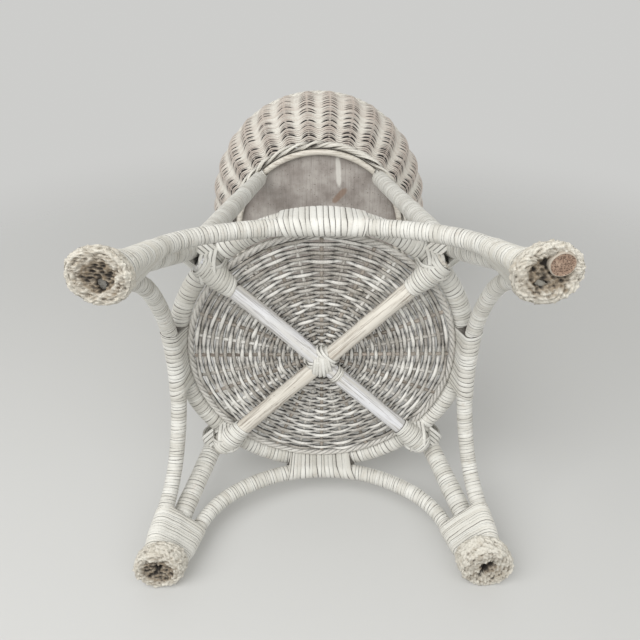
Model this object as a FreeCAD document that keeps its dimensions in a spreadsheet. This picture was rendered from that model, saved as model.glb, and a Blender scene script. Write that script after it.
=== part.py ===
import FreeCAD, Part
import math
import os

import Sketcher

# Two-tier round wicker stand: four splayed legs, a woven shelf in a ring and a woven basket on top.
# Frame: +Z up, origin on the floor at the centre of the four feet, legs on the diagonals. Millimetres.

doc = FreeCAD.newDocument("wicker_stand")
V = FreeCAD.Vector
UP = V(0, 0, 1)
CORNERS = {"front_left": 225, "front_right": 315, "back_right": 45, "back_left": 135}
SIDES = {"front": 0, "right": 90, "back": 180, "left": 270}

# ---------------------------------------------------------------- driving dimensions

DIMENSIONS = {
    # shelf ring and the woven disc in it
    "ring_radius": 140.3,
    "ring_height": 138.0,
    "ring_core": 8.0,
    "ring_wrapped": 9.7,
    "disc_radius": 123.9,
    "disc_bottom": 130.3,
    "disc_thick": 7.0,
    "disc_border_radius": 126.3,
    "disc_border_tube": 2.4,
    "spoke_count": 16,
    "spoke_radius": 1.8,
    "spoke_inner": 14.0,
    # legs, measured along a diagonal from the axis
    "leg_foot": 222.0,
    "leg_at_ring": 160.0,
    "leg_at_top": 112.0,
    "leg_top": 424.0,
    "leg_bend": 150.0,
    "leg_core": 8.5,
    "leg_wrapped": 10.1,
    # arches from foot to foot under the ring
    "arch_span": 142.2,
    "arch_foot_out": 160.4,
    "arch_apex": 120.2,
    "arch_crown": 160.0,
    "arch_crown_half": 35.0,
    "arch_run_lean": 20.0,
    "arch_core": 6.2,
    "arch_wrapped": 7.8,
    "arch_tie_half": 36.0,
    "tie_thick": 1.6,
    # feet
    "foot_centre": 154.0,
    "foot_radius": 22.0,
    "foot_height": 50.0,
    "foot_top_centre": 141.5,
    "foot_top_long": 28.6,
    "foot_top_short": 15.0,
    # crossed canes under the disc
    "cane_radius": 8.0,
    "cane_height": 120.0,
    "cane_reach": 152.0,
    "cane_gap": 0.3,
    "knot_radius": 15.0,
    "knot_bottom": 109.4,
    "knot_thick": 20.6,
    # reed that ties a cane's end to the ring and the leg
    "lash_cane_start": 110.0,
    "lash_cane_end": 157.0,
    "lash_ring_half_turn": 9.0,
    "lash_leg_half": 18.0,
    # hoop and plywood board under the basket
    "hoop_radius": 111.1,
    "hoop_height": 438.0,
    "hoop_tube": 3.7,
    "hoop_tie": 5.2,
    "hoop_tie_half_turn": 8.0,
    "board_radius": 112.2,
    "board_bottom": 443.3,
    "board_thick": 6.0,
    "nail_radius": 0.9,
    "nail_length": 12.0,
    "nail_count": 8,
    "nail_first_turn": 22.5,
    # basket wall: an arc turned about the axis
    "wall_arc": 190.0,
    "wall_arc_inset": 33.0,
    "wall_widest": 560.0,
    "wall_bottom": 447.0,
    "wall_top": 587.0,
    "wall_thick": 5.0,
    "stake_radius": 2.1,
    "stake_count": 30,
    "stake_top": 584.0,
    "foot_border_radius": 120.8,
    "foot_border_height": 442.0,
    "foot_border_tube": 4.5,
    "rim_radius": 154.6,
    "rim_height": 593.5,
    "rim_tube": 6.5,
    "rim_hoop_radius": 144.9,
    "rim_hoop_height": 579.0,
    "rim_hoop_tube": 4.0,
}

sheet = doc.addObject("Spreadsheet::Sheet", "dims")
for row, (alias, value) in enumerate(DIMENSIONS.items(), start=1):
    sheet.set(f"A{row}", alias)
    sheet.set(f"B{row}", str(value))
    sheet.setAlias(f"B{row}", alias)
doc.recompute()


def dim(alias):
    """A driving dimension, read back from the sheet."""
    return float(sheet.get(alias))


sub_parts = []


def keep(obj, label):
    """Marks an object as a sub-part and gives it the name of its file."""
    obj.Label = label
    sub_parts.append(obj)
    return obj


def bind(obj, **formulas):
    """Binds properties to sheet cells; a dot in a property's path is written as two underscores."""
    for path, formula in formulas.items():
        obj.setExpression(path.replace("__", "."), formula)
    return obj


def torus(name, radius, tube, height):
    ring = doc.addObject("Part::Torus", name)
    return bind(ring, Radius1=radius, Radius2=tube, Placement__Base__z=height)


def shaped(name, shape):
    """A feature whose shape comes from Part's own functions."""
    feature = doc.addObject("Part::Feature", name)
    feature.Shape = shape
    return feature


def cut(name, base, tool):
    piece = doc.addObject("Part::Cut", name)
    piece.Base = base
    piece.Tool = tool
    return piece


def group(name, shapes):
    return shaped(name, Part.makeCompound(shapes))


def turned(shape, angle):
    """A copy of a shape turned about the stand's axis."""
    copy = shape.copy()
    copy.rotate(V(0, 0, 0), UP, angle)
    return copy


def pipe(path, radius):
    """A round solid swept along a wire of tangent edges."""
    first = path.OrderedEdges[0]
    start = path.OrderedVertexes[0].Point
    along = first.tangentAt(first.FirstParameter)
    if first.Orientation == "Reversed":
        along = first.tangentAt(first.LastParameter) * -1
    profile = Part.Wire(Part.makeCircle(radius, start, along))
    return path.makePipeShell([profile], True, False)


def slab(low, high):
    """A block wider than the stand between two heights, used to trim poles and wraps."""
    size = 4 * dim("foot_centre")
    return Part.makeBox(size, size, high - low, V(-size / 2, -size / 2, low))


BELOW_FLOOR = slab(-dim("leg_foot"), 0)
UNDER_FOOT_TOP = slab(-dim("leg_foot"), dim("foot_height"))

# ---------------------------------------------------------------- paths of the bent poles


def leg_path(below=30.0):
    """Foot to basket in the plane of X and Z: a splayed run, one gentle bend at the ring, a steeper run."""
    foot = V(dim("leg_foot"), 0, 0)
    knee = V(dim("leg_at_ring"), 0, dim("ring_height"))
    top = V(dim("leg_at_top"), 0, dim("leg_top"))
    lower = (foot - knee).normalize()
    upper = (top - knee).normalize()
    half_turn = (math.pi - lower.getAngle(upper)) / 2
    reach = dim("leg_bend") * math.tan(half_turn)
    into, out = knee + lower * reach, knee + upper * reach
    centre = knee + (lower + upper).normalize() * (dim("leg_bend") / math.cos(half_turn))
    middle = centre + (knee - centre).normalize() * dim("leg_bend")
    start = foot + lower * below
    bend = Part.Arc(into, middle, out).toShape()
    return Part.Wire([Part.makeLine(start, into), bend, Part.makeLine(out, top)])


def arch_height():
    """Height of the arch in its own leaning plane."""
    lean = dim("arch_foot_out") - dim("ring_radius")
    return math.hypot(dim("arch_apex"), lean)


def arch_path(below=25.0):
    """Foot to foot: steep straight runs, shoulder arcs and a flatter crown, in the plane of X and Z."""
    crown, span, top = dim("arch_crown"), dim("arch_span"), arch_height()
    turn = math.radians(dim("arch_crown_half"))
    lean = math.radians(dim("arch_run_lean"))
    joint = V(crown * math.sin(turn), 0, top - crown * (1 - math.cos(turn)))
    # The shoulder's radius is the one that brings the straight run down on the foot.
    side = math.cos(lean) - math.sin(turn)
    drop = math.cos(turn) - math.sin(lean)
    shoulder = (span - joint.x - joint.z * math.tan(lean)) / (side - drop * math.tan(lean))
    hub = joint - V(math.sin(turn), 0, math.cos(turn)) * shoulder
    waist = hub + V(math.cos(lean), 0, math.sin(lean)) * shoulder
    middle_turn = (math.pi / 2 - lean + turn) / 2
    middle = hub + V(math.sin(middle_turn), 0, math.cos(middle_turn)) * shoulder
    foot = V(span, 0, 0) + V(math.sin(lean), 0, -math.cos(lean)) * below

    def flip(point):
        return V(-point.x, 0, point.z)

    edges = [
        Part.makeLine(foot, waist),
        Part.Arc(waist, middle, joint).toShape(),
        Part.Arc(joint, V(0, 0, top), flip(joint)).toShape(),
        Part.Arc(flip(joint), flip(middle), flip(waist)).toShape(),
        Part.makeLine(flip(waist), flip(foot)),
    ]
    return Part.Wire(edges)


def arch_solid(radius):
    """The front arch as a round solid, leaning in from the feet to the ring."""
    solid = pipe(arch_path(), radius)
    lean = dim("arch_foot_out") - dim("ring_radius")
    solid.rotate(V(0, 0, 0), V(1, 0, 0), -math.degrees(math.atan2(lean, dim("arch_apex"))))
    solid.translate(V(0, -dim("arch_foot_out"), 0))
    return solid


LEG = pipe(leg_path(), dim("leg_core"))
LEG_WRAPPED = pipe(leg_path(), dim("leg_wrapped"))
ARCH = arch_solid(dim("arch_core"))
ARCH_WRAPPED = arch_solid(dim("arch_wrapped"))
RING_AT = V(0, 0, dim("ring_height"))
RING_WRAPPED = Part.makeTorus(dim("ring_radius"), dim("ring_wrapped"), RING_AT)


def wedge(start, sweep):
    """A slice of the space about the axis, from one angle over a sweep of degrees."""
    slice_ = Part.makeCylinder(dim("leg_foot"), dim("rim_height"), V(0, 0, 0), UP, sweep)
    slice_.rotate(V(0, 0, 0), UP, start)
    return slice_


# ---------------------------------------------------------------- legs, arches and feet


def make_legs():
    pole = LEG.cut(BELOW_FLOOR)
    wrap = LEG_WRAPPED.cut(LEG).cut(UNDER_FOOT_TOP)
    cap_at = V(dim("leg_at_top"), 0, dim("leg_top"))
    cap = Part.makeSphere(dim("leg_wrapped"), cap_at).cut(LEG_WRAPPED)
    for corner, angle in CORNERS.items():
        keep(shaped(f"leg_{corner}", turned(pole, angle)), f"leg_pole_{corner}")
        keep(shaped(f"wrap_{corner}", turned(wrap, angle)), f"leg_wrap_{corner}")
        keep(shaped(f"cap_{corner}", turned(cap, angle)), f"leg_top_wrap_{corner}")


def make_arches():
    cane = ARCH.cut(BELOW_FLOOR)
    wrap = ARCH_WRAPPED.cut(ARCH).cut(UNDER_FOOT_TOP)
    for side, angle in SIDES.items():
        keep(shaped(f"arch_{side}", turned(cane, angle)), f"arch_cane_{side}")
        keep(shaped(f"arch_skin_{side}", turned(wrap, angle)), f"arch_wrap_{side}")


def make_feet():
    """Club feet: a binding of reed round the leg's end and the ends of two arches."""
    centre = dim("foot_centre") * math.sqrt(2)
    top_centre = dim("foot_top_centre") * math.sqrt(2)
    bottom = Part.Wire(Part.makeCircle(dim("foot_radius"), V(centre, 0, 0)))
    oval = Part.Ellipse(
        V(top_centre, dim("foot_top_long"), dim("foot_height")),
        V(top_centre + dim("foot_top_short"), 0, dim("foot_height")),
        V(top_centre, 0, dim("foot_height")),
    )
    top = Part.Wire(oval.toShape())
    # Both outlines start on the same side, so that the skin between them doesn't twist.
    bottom.rotate(V(centre, 0, 0), UP, 90)
    club = Part.makeLoft([bottom, top], True, True)
    right_arch = turned(ARCH, 45)
    left_arch = turned(ARCH, 135)
    binding = club.cut(LEG).cut(right_arch).cut(left_arch)
    for corner, angle in CORNERS.items():
        keep(shaped(f"foot_{corner}", turned(binding, angle)), f"foot_wrap_{corner}")


# ---------------------------------------------------------------- shelf


def make_ring():
    core = torus("ring_core_torus", "dims.ring_radius", "dims.ring_core", "dims.ring_height")
    keep(core, "shelf_ring")
    # The reed round the ring stops at the four ties, so it is four lengths.
    half_tie = math.degrees(dim("arch_tie_half") / dim("ring_radius"))
    sleeve = RING_WRAPPED.cut(Part.makeTorus(dim("ring_radius"), dim("ring_core"), RING_AT))
    quarter = sleeve.common(wedge(half_tie, 90 - 2 * half_tie))
    keep(group("ring_skin", [turned(quarter, 90 * i) for i in range(4)]), "shelf_ring_wrap")


def make_arch_ties():
    """A broad tie round the ring and the crown of each arch."""
    half_tie = math.degrees(dim("arch_tie_half") / dim("ring_radius"))
    thick = dim("tie_thick")
    near_side = wedge(270 - half_tie, 2 * half_tie)
    around_ring = Part.makeTorus(dim("ring_radius"), dim("ring_core") + 2 * thick, RING_AT)
    around_arch = arch_solid(dim("arch_wrapped") + thick)
    web_width = 2 * dim("arch_wrapped")
    drop = dim("ring_height") - dim("arch_apex")
    web = Part.makeBox(
        2 * dim("arch_tie_half"),
        web_width,
        drop,
        V(-dim("arch_tie_half"), -dim("ring_radius") - web_width / 2, dim("arch_apex")),
    )
    tie = around_ring.common(near_side).fuse(around_arch.common(near_side))
    tie = tie.fuse(web.common(near_side))
    core = Part.makeTorus(dim("ring_radius"), dim("ring_core"), RING_AT)
    tie = tie.cut(core).cut(ARCH_WRAPPED).removeSplitter()
    for side, angle in SIDES.items():
        keep(shaped(f"tie_{side}", turned(tie, angle)), f"arch_tie_{side}")


def cane_along(start, end, radius):
    return Part.makeCylinder(radius, end - start, V(start, 0, dim("cane_height")), V(1, 0, 0))


def make_cross_canes():
    reach, radius = dim("cane_reach"), dim("cane_radius")
    through = turned(cane_along(-reach, reach, radius), CORNERS["back_right"])
    keep(shaped("cane_through", through), "cross_cane_through")
    half = cane_along(radius + dim("cane_gap"), reach, radius)
    for corner in ("front_right", "back_left"):
        keep(shaped(f"cane_{corner}", turned(half, CORNERS[corner])), f"cross_cane_half_{corner}")

    knot = doc.addObject("Part::Cylinder", "knot_block")
    bind(knot, Radius="dims.knot_radius", Height="dims.knot_thick")
    bind(knot, Placement__Base__z="dims.knot_bottom")
    halves = [turned(half, CORNERS[corner]) for corner in ("front_right", "back_left")]
    canes = shaped("knot_canes", through.fuse(halves))
    keep(cut("knot_cut", knot, canes), "centre_lashing")


def make_corner_lashings():
    """Reed that ties a cross cane's end to the ring and the leg."""
    thick = dim("tie_thick")
    half_turn, half_height = dim("lash_ring_half_turn"), dim("lash_leg_half")
    start, end = dim("lash_cane_start"), dim("lash_cane_end")
    cane_tie = cane_along(start, end, dim("cane_radius") + thick)
    around_ring = Part.makeTorus(dim("ring_radius"), dim("ring_wrapped") + thick, RING_AT)
    around_ring = around_ring.common(wedge(-half_turn, 2 * half_turn))
    around_leg = pipe(leg_path(), dim("leg_wrapped") + thick)
    ring_height = dim("ring_height")
    around_leg = around_leg.common(slab(ring_height - half_height, ring_height + half_height))
    lashing = cane_tie.fuse(around_ring).fuse(around_leg)
    cane = cane_along(0, dim("cane_reach"), dim("cane_radius"))
    lashing = lashing.cut(RING_WRAPPED).cut(LEG_WRAPPED).cut(cane).removeSplitter()
    for corner, angle in CORNERS.items():
        keep(shaped(f"lash_{corner}", turned(lashing, angle)), f"corner_lashing_{corner}")


def make_disc():
    count = int(dim("spoke_count"))
    height = dim("disc_bottom") + dim("disc_thick") / 2
    start = dim("spoke_inner")
    rod = Part.makeCylinder(
        dim("spoke_radius"), dim("disc_radius") - start, V(start, 0, height), V(1, 0, 0)
    )
    spokes = group("spoke_rods", [turned(rod, 360 / count * i) for i in range(count)])
    keep(spokes, "shelf_spokes")
    disc = doc.addObject("Part::Cylinder", "disc_blank")
    bind(disc, Radius="dims.disc_radius", Height="dims.disc_thick")
    bind(disc, Placement__Base__z="dims.disc_bottom")
    keep(cut("disc_weave", disc, spokes), "shelf_weave")
    middle = "dims.disc_bottom + dims.disc_thick / 2"
    edge = torus("disc_edge", "dims.disc_border_radius", "dims.disc_border_tube", middle)
    keep(edge, "shelf_border")


# ---------------------------------------------------------------- hoop, board and nails


def origin_of(body, role):
    """One of a body's own origin planes or axes."""
    return next(item for item in body.Origin.OriginFeatures if item.Role == role)


def new_sketch(body, name, role):
    sketch = body.newObject("Sketcher::SketchObject", name)
    sketch.AttachmentSupport = [(origin_of(body, role), "")]
    sketch.MapMode = "FlatFace"
    return sketch


def make_board():
    """Plywood floor of the basket, bored for its nails and nailed down to the hoop."""
    body = doc.addObject("PartDesign::Body", "board_body")
    outline = new_sketch(body, "board_outline", "XY_Plane")
    bind(outline, AttachmentOffset__Base__z="dims.board_bottom")
    outline.addGeometry(Part.Circle(V(0, 0, 0), UP, dim("board_radius")), False)
    outline.addConstraint(Sketcher.Constraint("Coincident", 0, 3, -1, 1))
    outline.addConstraint(Sketcher.Constraint("Radius", 0, dim("board_radius")))
    outline.setExpression("Constraints[1]", "dims.board_radius")
    pad = body.newObject("PartDesign::Pad", "board_pad")
    pad.Profile = outline
    bind(pad, Length="dims.board_thick")
    doc.recompute()

    bore = new_sketch(body, "nail_bore", "XY_Plane")
    bind(bore, AttachmentOffset__Base__z="dims.board_bottom")
    first = math.radians(dim("nail_first_turn"))
    at = V(math.cos(first), math.sin(first), 0) * dim("hoop_radius")
    bore.addGeometry(Part.Circle(at, UP, dim("nail_radius")), False)
    bore.addConstraint(Sketcher.Constraint("DistanceX", -1, 1, 0, 3, at.x))
    bore.addConstraint(Sketcher.Constraint("DistanceY", -1, 1, 0, 3, at.y))
    bore.addConstraint(Sketcher.Constraint("Radius", 0, dim("nail_radius")))
    bore.setExpression("Constraints[0]", "dims.hoop_radius * cos(dims.nail_first_turn)")
    bore.setExpression("Constraints[1]", "dims.hoop_radius * sin(dims.nail_first_turn)")
    bore.setExpression("Constraints[2]", "dims.nail_radius")
    pocket = body.newObject("PartDesign::Pocket", "nail_pocket")
    pocket.Profile = bore
    pocket.Reversed = True
    bind(pocket, Length="dims.board_thick")
    pattern = body.newObject("PartDesign::PolarPattern", "nail_pattern")
    pattern.Originals = [pocket]
    pattern.Axis = (origin_of(body, "Z_Axis"), [""])
    pattern.Angle = 360
    pattern.Occurrences = int(dim("nail_count"))
    body.Tip = pattern
    doc.recompute()
    keep(body, "base_board")


def nail_shapes():
    count = int(dim("nail_count"))
    top = dim("board_bottom") + dim("board_thick")
    nail = Part.makeCylinder(
        dim("nail_radius"), dim("nail_length"), V(dim("hoop_radius"), 0, top - dim("nail_length"))
    )
    first = dim("nail_first_turn")
    return [turned(nail, first + 360 / count * i) for i in range(count)]


def make_hoop():
    nails = group("nail_rods", nail_shapes())
    keep(nails, "board_nails")
    ring = torus("hoop_torus", "dims.hoop_radius", "dims.hoop_tube", "dims.hoop_height")
    keep(cut("hoop_bored", ring, nails), "basket_hoop")


def make_hoop_lashings():
    """Reed over the hoop where each leg's top meets it."""
    at = V(0, 0, dim("hoop_height"))
    half_turn = dim("hoop_tie_half_turn")
    outer = Part.makeTorus(dim("hoop_radius"), dim("hoop_tie"), at)
    inner = Part.makeTorus(dim("hoop_radius"), dim("hoop_tube"), at)
    cap_at = V(dim("leg_at_top"), 0, dim("leg_top"))
    cap = Part.makeSphere(dim("leg_wrapped"), cap_at)
    band = outer.cut(inner).common(wedge(-half_turn, 2 * half_turn)).cut(cap)
    for corner, angle in CORNERS.items():
        keep(shaped(f"hooplash_{corner}", turned(band, angle)), f"hoop_lashing_{corner}")


# ---------------------------------------------------------------- basket


def wall_radius(height, offset=0.0):
    """Radius of the basket wall's middle surface, or one offset from it, at a height."""
    arc = dim("wall_arc") + offset
    return math.sqrt(arc**2 - (height - dim("wall_widest")) ** 2) - dim("wall_arc_inset")


def make_wall():
    """The woven wall as a body of revolution between two arcs about one centre."""
    body = doc.addObject("PartDesign::Body", "wall_body")
    sketch = new_sketch(body, "wall_section", "XZ_Plane")
    centre = V(-dim("wall_arc_inset"), dim("wall_widest"), 0)
    low, high, half = dim("wall_bottom"), dim("wall_top"), dim("wall_thick") / 2

    def corner(offset, height):
        return V(wall_radius(height, offset), height, 0)

    def angle(point):
        return math.atan2(point.y - centre.y, point.x - centre.x)

    for offset in (half, -half):
        circle = Part.Circle(centre, UP, dim("wall_arc") + offset)
        start, end = angle(corner(offset, low)), angle(corner(offset, high))
        sketch.addGeometry(Part.ArcOfCircle(circle, start, end), False)
    sketch.addGeometry(Part.LineSegment(corner(half, low), corner(-half, low)), False)
    sketch.addGeometry(Part.LineSegment(corner(half, high), corner(-half, high)), False)
    for rule in (
        ("Coincident", 0, 3, 1, 3),
        ("Coincident", 0, 1, 2, 1),
        ("Coincident", 1, 1, 2, 2),
        ("Coincident", 0, 2, 3, 1),
        ("Coincident", 1, 2, 3, 2),
        ("Horizontal", 2),
        ("Horizontal", 3),
    ):
        sketch.addConstraint(Sketcher.Constraint(*rule))
    sized = (
        (("DistanceX", 0, 3, -1, 1, dim("wall_arc_inset")), "dims.wall_arc_inset"),
        (("DistanceY", -1, 1, 0, 3, dim("wall_widest")), "dims.wall_widest"),
        (("Radius", 0, dim("wall_arc") + half), "dims.wall_arc + dims.wall_thick / 2"),
        (("Radius", 1, dim("wall_arc") - half), "dims.wall_arc - dims.wall_thick / 2"),
        (("DistanceY", -1, 1, 2, 1, low), "dims.wall_bottom"),
        (("DistanceY", -1, 1, 3, 1, high), "dims.wall_top"),
    )
    for rule, formula in sized:
        index = sketch.addConstraint(Sketcher.Constraint(*rule))
        sketch.setExpression(f"Constraints[{index}]", formula)
    turn = body.newObject("PartDesign::Revolution", "wall_turn")
    turn.Profile = sketch
    turn.ReferenceAxis = (sketch, ["V_Axis"])
    turn.Angle = 360
    doc.recompute()
    keep(body, "basket_weave")


def make_stakes():
    """Upright rods inside the wall, each one arc long."""
    offset = -dim("wall_thick") / 2 - dim("stake_radius")
    low, high = dim("wall_bottom"), dim("stake_top")
    ends = [V(wall_radius(z, offset), 0, z) for z in (low, (low + high) / 2, high)]
    rod = pipe(Part.Wire([Part.Arc(*ends).toShape()]), dim("stake_radius"))
    count = int(dim("stake_count"))
    keep(group("stake_rods", [turned(rod, 360 / count * i) for i in range(count)]), "basket_stakes")


def make_borders():
    for label, stem in (
        ("basket_foot_border", "foot_border"),
        ("basket_rim_border", "rim"),
        ("basket_rim_hoop", "rim_hoop"),
    ):
        sizes = [f"dims.{stem}_{word}" for word in ("radius", "tube", "height")]
        keep(torus(f"{stem}_torus", *sizes), label)


make_legs()
make_arches()
make_feet()
make_ring()
make_arch_ties()
make_cross_canes()
make_corner_lashings()
make_disc()
make_board()
make_hoop()
make_hoop_lashings()
make_wall()
make_stakes()
make_borders()
doc.recompute()

# ---------------------------------------------------------------- checks and files

failed = [obj.Label for obj in doc.Objects if {"Invalid", "Error"} & set(obj.State)]
bad = [obj.Label for obj in sub_parts if obj.Shape.isNull() or not obj.Shape.isValid()]
if failed or bad:
    raise RuntimeError(f"failed: {failed}, shapes not valid: {bad}")

os.makedirs("parts", exist_ok=True)
for obj in sub_parts:
    obj.Shape.exportStep(f"parts/{obj.Label}.step")
    print(obj.Label, len(obj.Shape.Solids), round(obj.Shape.Volume))
print(len(sub_parts), "sub-parts")
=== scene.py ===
"""Looks of a small white-painted wicker stand: bound legs and arches, a woven shelf and a woven basket."""

import math

import bmesh
import bpy
import numpy as np
from mathutils import Euler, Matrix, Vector


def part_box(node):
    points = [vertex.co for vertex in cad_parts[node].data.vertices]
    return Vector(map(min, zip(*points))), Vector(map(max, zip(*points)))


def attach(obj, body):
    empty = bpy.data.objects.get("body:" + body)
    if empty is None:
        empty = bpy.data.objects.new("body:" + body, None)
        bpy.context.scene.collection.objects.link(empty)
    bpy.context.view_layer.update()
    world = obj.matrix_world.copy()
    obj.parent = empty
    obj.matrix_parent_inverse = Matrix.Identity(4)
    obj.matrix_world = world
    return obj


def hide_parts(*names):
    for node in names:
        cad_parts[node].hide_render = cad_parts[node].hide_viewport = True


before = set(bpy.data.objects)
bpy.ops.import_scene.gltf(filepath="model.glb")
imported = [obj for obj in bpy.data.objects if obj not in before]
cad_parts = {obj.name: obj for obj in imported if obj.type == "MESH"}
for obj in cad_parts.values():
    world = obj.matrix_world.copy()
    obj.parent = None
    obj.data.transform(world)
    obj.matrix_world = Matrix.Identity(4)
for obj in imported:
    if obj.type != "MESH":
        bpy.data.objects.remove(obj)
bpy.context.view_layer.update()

bl_info = {
    "name": "Painted wicker stand",
    "version": (1, 0, 0),
    "blender": (4, 5, 0),
    "location": "View3D > Sidebar > Stand",
    "description": "Builds the reed bindings, the weaves and the finishes of a small wicker stand",
    "category": "Object",
}

MM = 0.001
TAU = 2 * math.pi
UP = np.array([0.0, 0.0, 1.0])
CORNERS = {"front_left": 225, "front_right": 315, "back_right": 45, "back_left": 135}
SIDES = {"front": 270, "right": 0, "back": 90, "left": 180}

# ---------------------------------------------------------------- where the frame's pieces are


def ring_of(node):
    """Radius, height and tube radius of a ring in the frame, in millimetres."""
    low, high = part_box(node)
    tube = (high.z - low.z) / 2
    return (high.x - tube) / MM, (high.z + low.z) / 2 / MM, tube / MM


RING_RADIUS, RING_HEIGHT, _ = ring_of("shelf_ring")
HOOP_RADIUS, HOOP_HEIGHT, HOOP_TUBE = ring_of("basket_hoop")
FOOT_BORDER_RADIUS, FOOT_BORDER_HEIGHT, _ = ring_of("basket_foot_border")
RIM_RADIUS, RIM_HEIGHT, _ = ring_of("basket_rim_border")
SHELF_BORDER_RADIUS, SHELF_HEIGHT, _ = ring_of("shelf_border")
SHELF_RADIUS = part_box("shelf_weave")[1].x / MM
WALL_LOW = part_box("basket_weave")[0].z / MM
WALL_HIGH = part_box("basket_weave")[1].z / MM
LEG_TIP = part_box("leg_top_wrap_back_right")[1].z / MM
CANE_HEIGHT = (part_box("cross_cane_through")[0].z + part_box("cross_cane_through")[1].z) / 2 / MM

# The leg's line as distance out and height: floor, bend at the ring, under the hoop. All lengths are in millimetres.
LEG_LINE = ((222.0, 0.0), (160.0, 138.0), (112.0, 424.0))
LEG_BEND = 150.0
LEG_CORE, LEG_WRAPPED = 8.5, 10.1
ARCH_SPAN, ARCH_FOOT_OUT, ARCH_APEX = 142.2, 160.4, 120.2
ARCH_CROWN, ARCH_CROWN_HALF, ARCH_LEAN = 160.0, math.radians(35), math.radians(20)
ARCH_CORE, ARCH_WRAPPED = 6.2, 7.8
ARCH_TILT = math.atan2(ARCH_FOOT_OUT - RING_RADIUS, ARCH_APEX)
ARCH_TOP = math.hypot(ARCH_APEX, ARCH_FOOT_OUT - RING_RADIUS)
RING_WRAPPED = 9.7
TIE_THICK, TIE_HALF = 1.04, 36.0
CANE_RADIUS, CANE_REACH, CANE_GAP = 8.0, 152.0, 0.3
FOOT_HEIGHT, FOOT_RADIUS = 50.0, 22.0
FOOT_CENTRE, FOOT_TOP_CENTRE = 154.0 * math.sqrt(2), 141.5 * math.sqrt(2)
# Where the reed and the poles begin inside a foot.
WRAP_START, CORE_START = 46.0, 17.0
# The clubs under the feet: height, widening, then the hollow's middle, half length and width and direction,
# and how far the brown spreads.
CLUBS = {
    "front_left": (11.5, 1.0, (-5.0, -4.5), (3.6, 2.2), 0.5, 13.0),
    "front_right": (11.5, 1.06, (-6.5, 3.0), (3.0, 1.6), 1.0, 14.0),
    "back_right": (19.0, 1.1, (1.0, 1.0), (9.0, 1.8), 1.3, 8.0),
    "back_left": (17.0, 1.03, (0.5, 1.5), (3.4, 2.8), 0.0, 15.0),
}
# Half widths of a flat lashing strip, spacing of strips at a corner and pitch of the winding on a cane's end.
CORNER_STRIP, CENTRE_STRIP, STRIP_STEP, END_PITCH = 1.95, 1.75, 3.9, 2.9
# The shelf's spokes double in number at this radius. Its strands start at the hub and keep inside the edge.
HUB_SPOKES, EDGE_SPOKES, SPOKES_DOUBLE = 16, 32, 45.0
SHELF_HUB, SHELF_MARGIN, SHELF_STRAND, SHELF_HEAVE = 13.0, 1.8, 1.92, 2.3
# The basket's wall is part of a ring-shaped bulge: offset of its centre, its radius and its height.
BULGE_OFFSET, BULGE_RADIUS, BULGE_HEIGHT = -33.0, 190.0, 560.0


# ---------------------------------------------------------------- lines that reed and cane follow


class Rail:
    """A line in space with a side direction and an outward direction at every point."""

    def __init__(self, points, side, closed=False):
        p = np.asarray(points, float)
        if closed:
            loop = p[:-1]
            t = np.roll(loop, -1, 0) - np.roll(loop, 1, 0)
            t = np.vstack([t, t[:1]])
        else:
            t = np.gradient(p, axis=0)
        t /= np.linalg.norm(t, axis=1)[:, None]
        n = np.broadcast_to(np.asarray(side, float), p.shape).copy()
        n -= t * (n * t).sum(1)[:, None]
        n /= np.linalg.norm(n, axis=1)[:, None]
        self.points, self.along, self.side = p, t, n
        self.out = np.cross(t, n)
        steps = np.linalg.norm(np.diff(p, axis=0), axis=1)
        self.travel = np.concatenate([[0.0], np.cumsum(steps)])
        self.length = self.travel[-1]
        self.count = len(p) - 1

    def index(self, travel):
        return np.interp(travel, self.travel, np.arange(self.count + 1))

    def at(self, index):
        """Point, along, side and out directions at a fractional index."""
        low = np.clip(np.floor(index).astype(int), 0, self.count - 1)
        part = (index - low)[:, None]
        return [a[low] * (1 - part) + a[low + 1] * part for a in (self.points, self.along, self.side, self.out)]


def turned(points, degrees):
    """Points turned about the stand's upright axis."""
    a = math.radians(degrees)
    c, s = math.cos(a), math.sin(a)
    p = np.asarray(points, float)
    return np.stack([p[:, 0] * c - p[:, 1] * s, p[:, 0] * s + p[:, 1] * c, p[:, 2]], 1)


def spoke(points, degrees):
    """A rail in the upright plane at this angle; its points are distance out, sideways and height."""
    return Rail(turned(points, degrees), turned([[0, 1, 0]], degrees)[0])


def circle(radius, height, count, start=0.0, sweep=TAU):
    """Points round the upright axis; radius and height may change from point to point."""
    a = start + np.linspace(0, sweep, count + 1)
    r = np.broadcast_to(radius, a.shape)
    z = np.broadcast_to(height, a.shape)
    return np.stack([r * np.cos(a), r * np.sin(a), z], 1)


def level_ring(radius, height, count):
    """A closed rail round the upright axis."""
    return Rail(circle(radius, height, count), UP, closed=True)


def rounded_line(corners, radius, step=2.0):
    """Two straight runs joined by one tangent arc, in a flat plane."""
    a, b, c = (np.array(p, float) for p in corners)
    u = (a - b) / np.linalg.norm(a - b)
    w = (c - b) / np.linalg.norm(c - b)
    half = (math.pi - math.acos(u.dot(w))) / 2
    reach = radius * math.tan(half)
    hub = b + (u + w) / np.linalg.norm(u + w) * radius / math.cos(half)
    first, last = b + u * reach - hub, b + w * reach - hub
    turn = math.atan2(first[0] * last[1] - first[1] * last[0], first.dot(last))
    angles = np.linspace(0, turn, 24)
    arc = [hub + first * math.cos(t) + np.array([-first[1], first[0]]) * math.sin(t) for t in angles]
    runs = [a + (arc[0] - a) * t for t in np.linspace(0, 1, int(np.linalg.norm(arc[0] - a) / step))[:-1]]
    tail = [arc[-1] + (c - arc[-1]) * t for t in np.linspace(0, 1, int(np.linalg.norm(c - arc[-1]) / step))[1:]]
    return np.array(runs + arc + tail)


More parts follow.
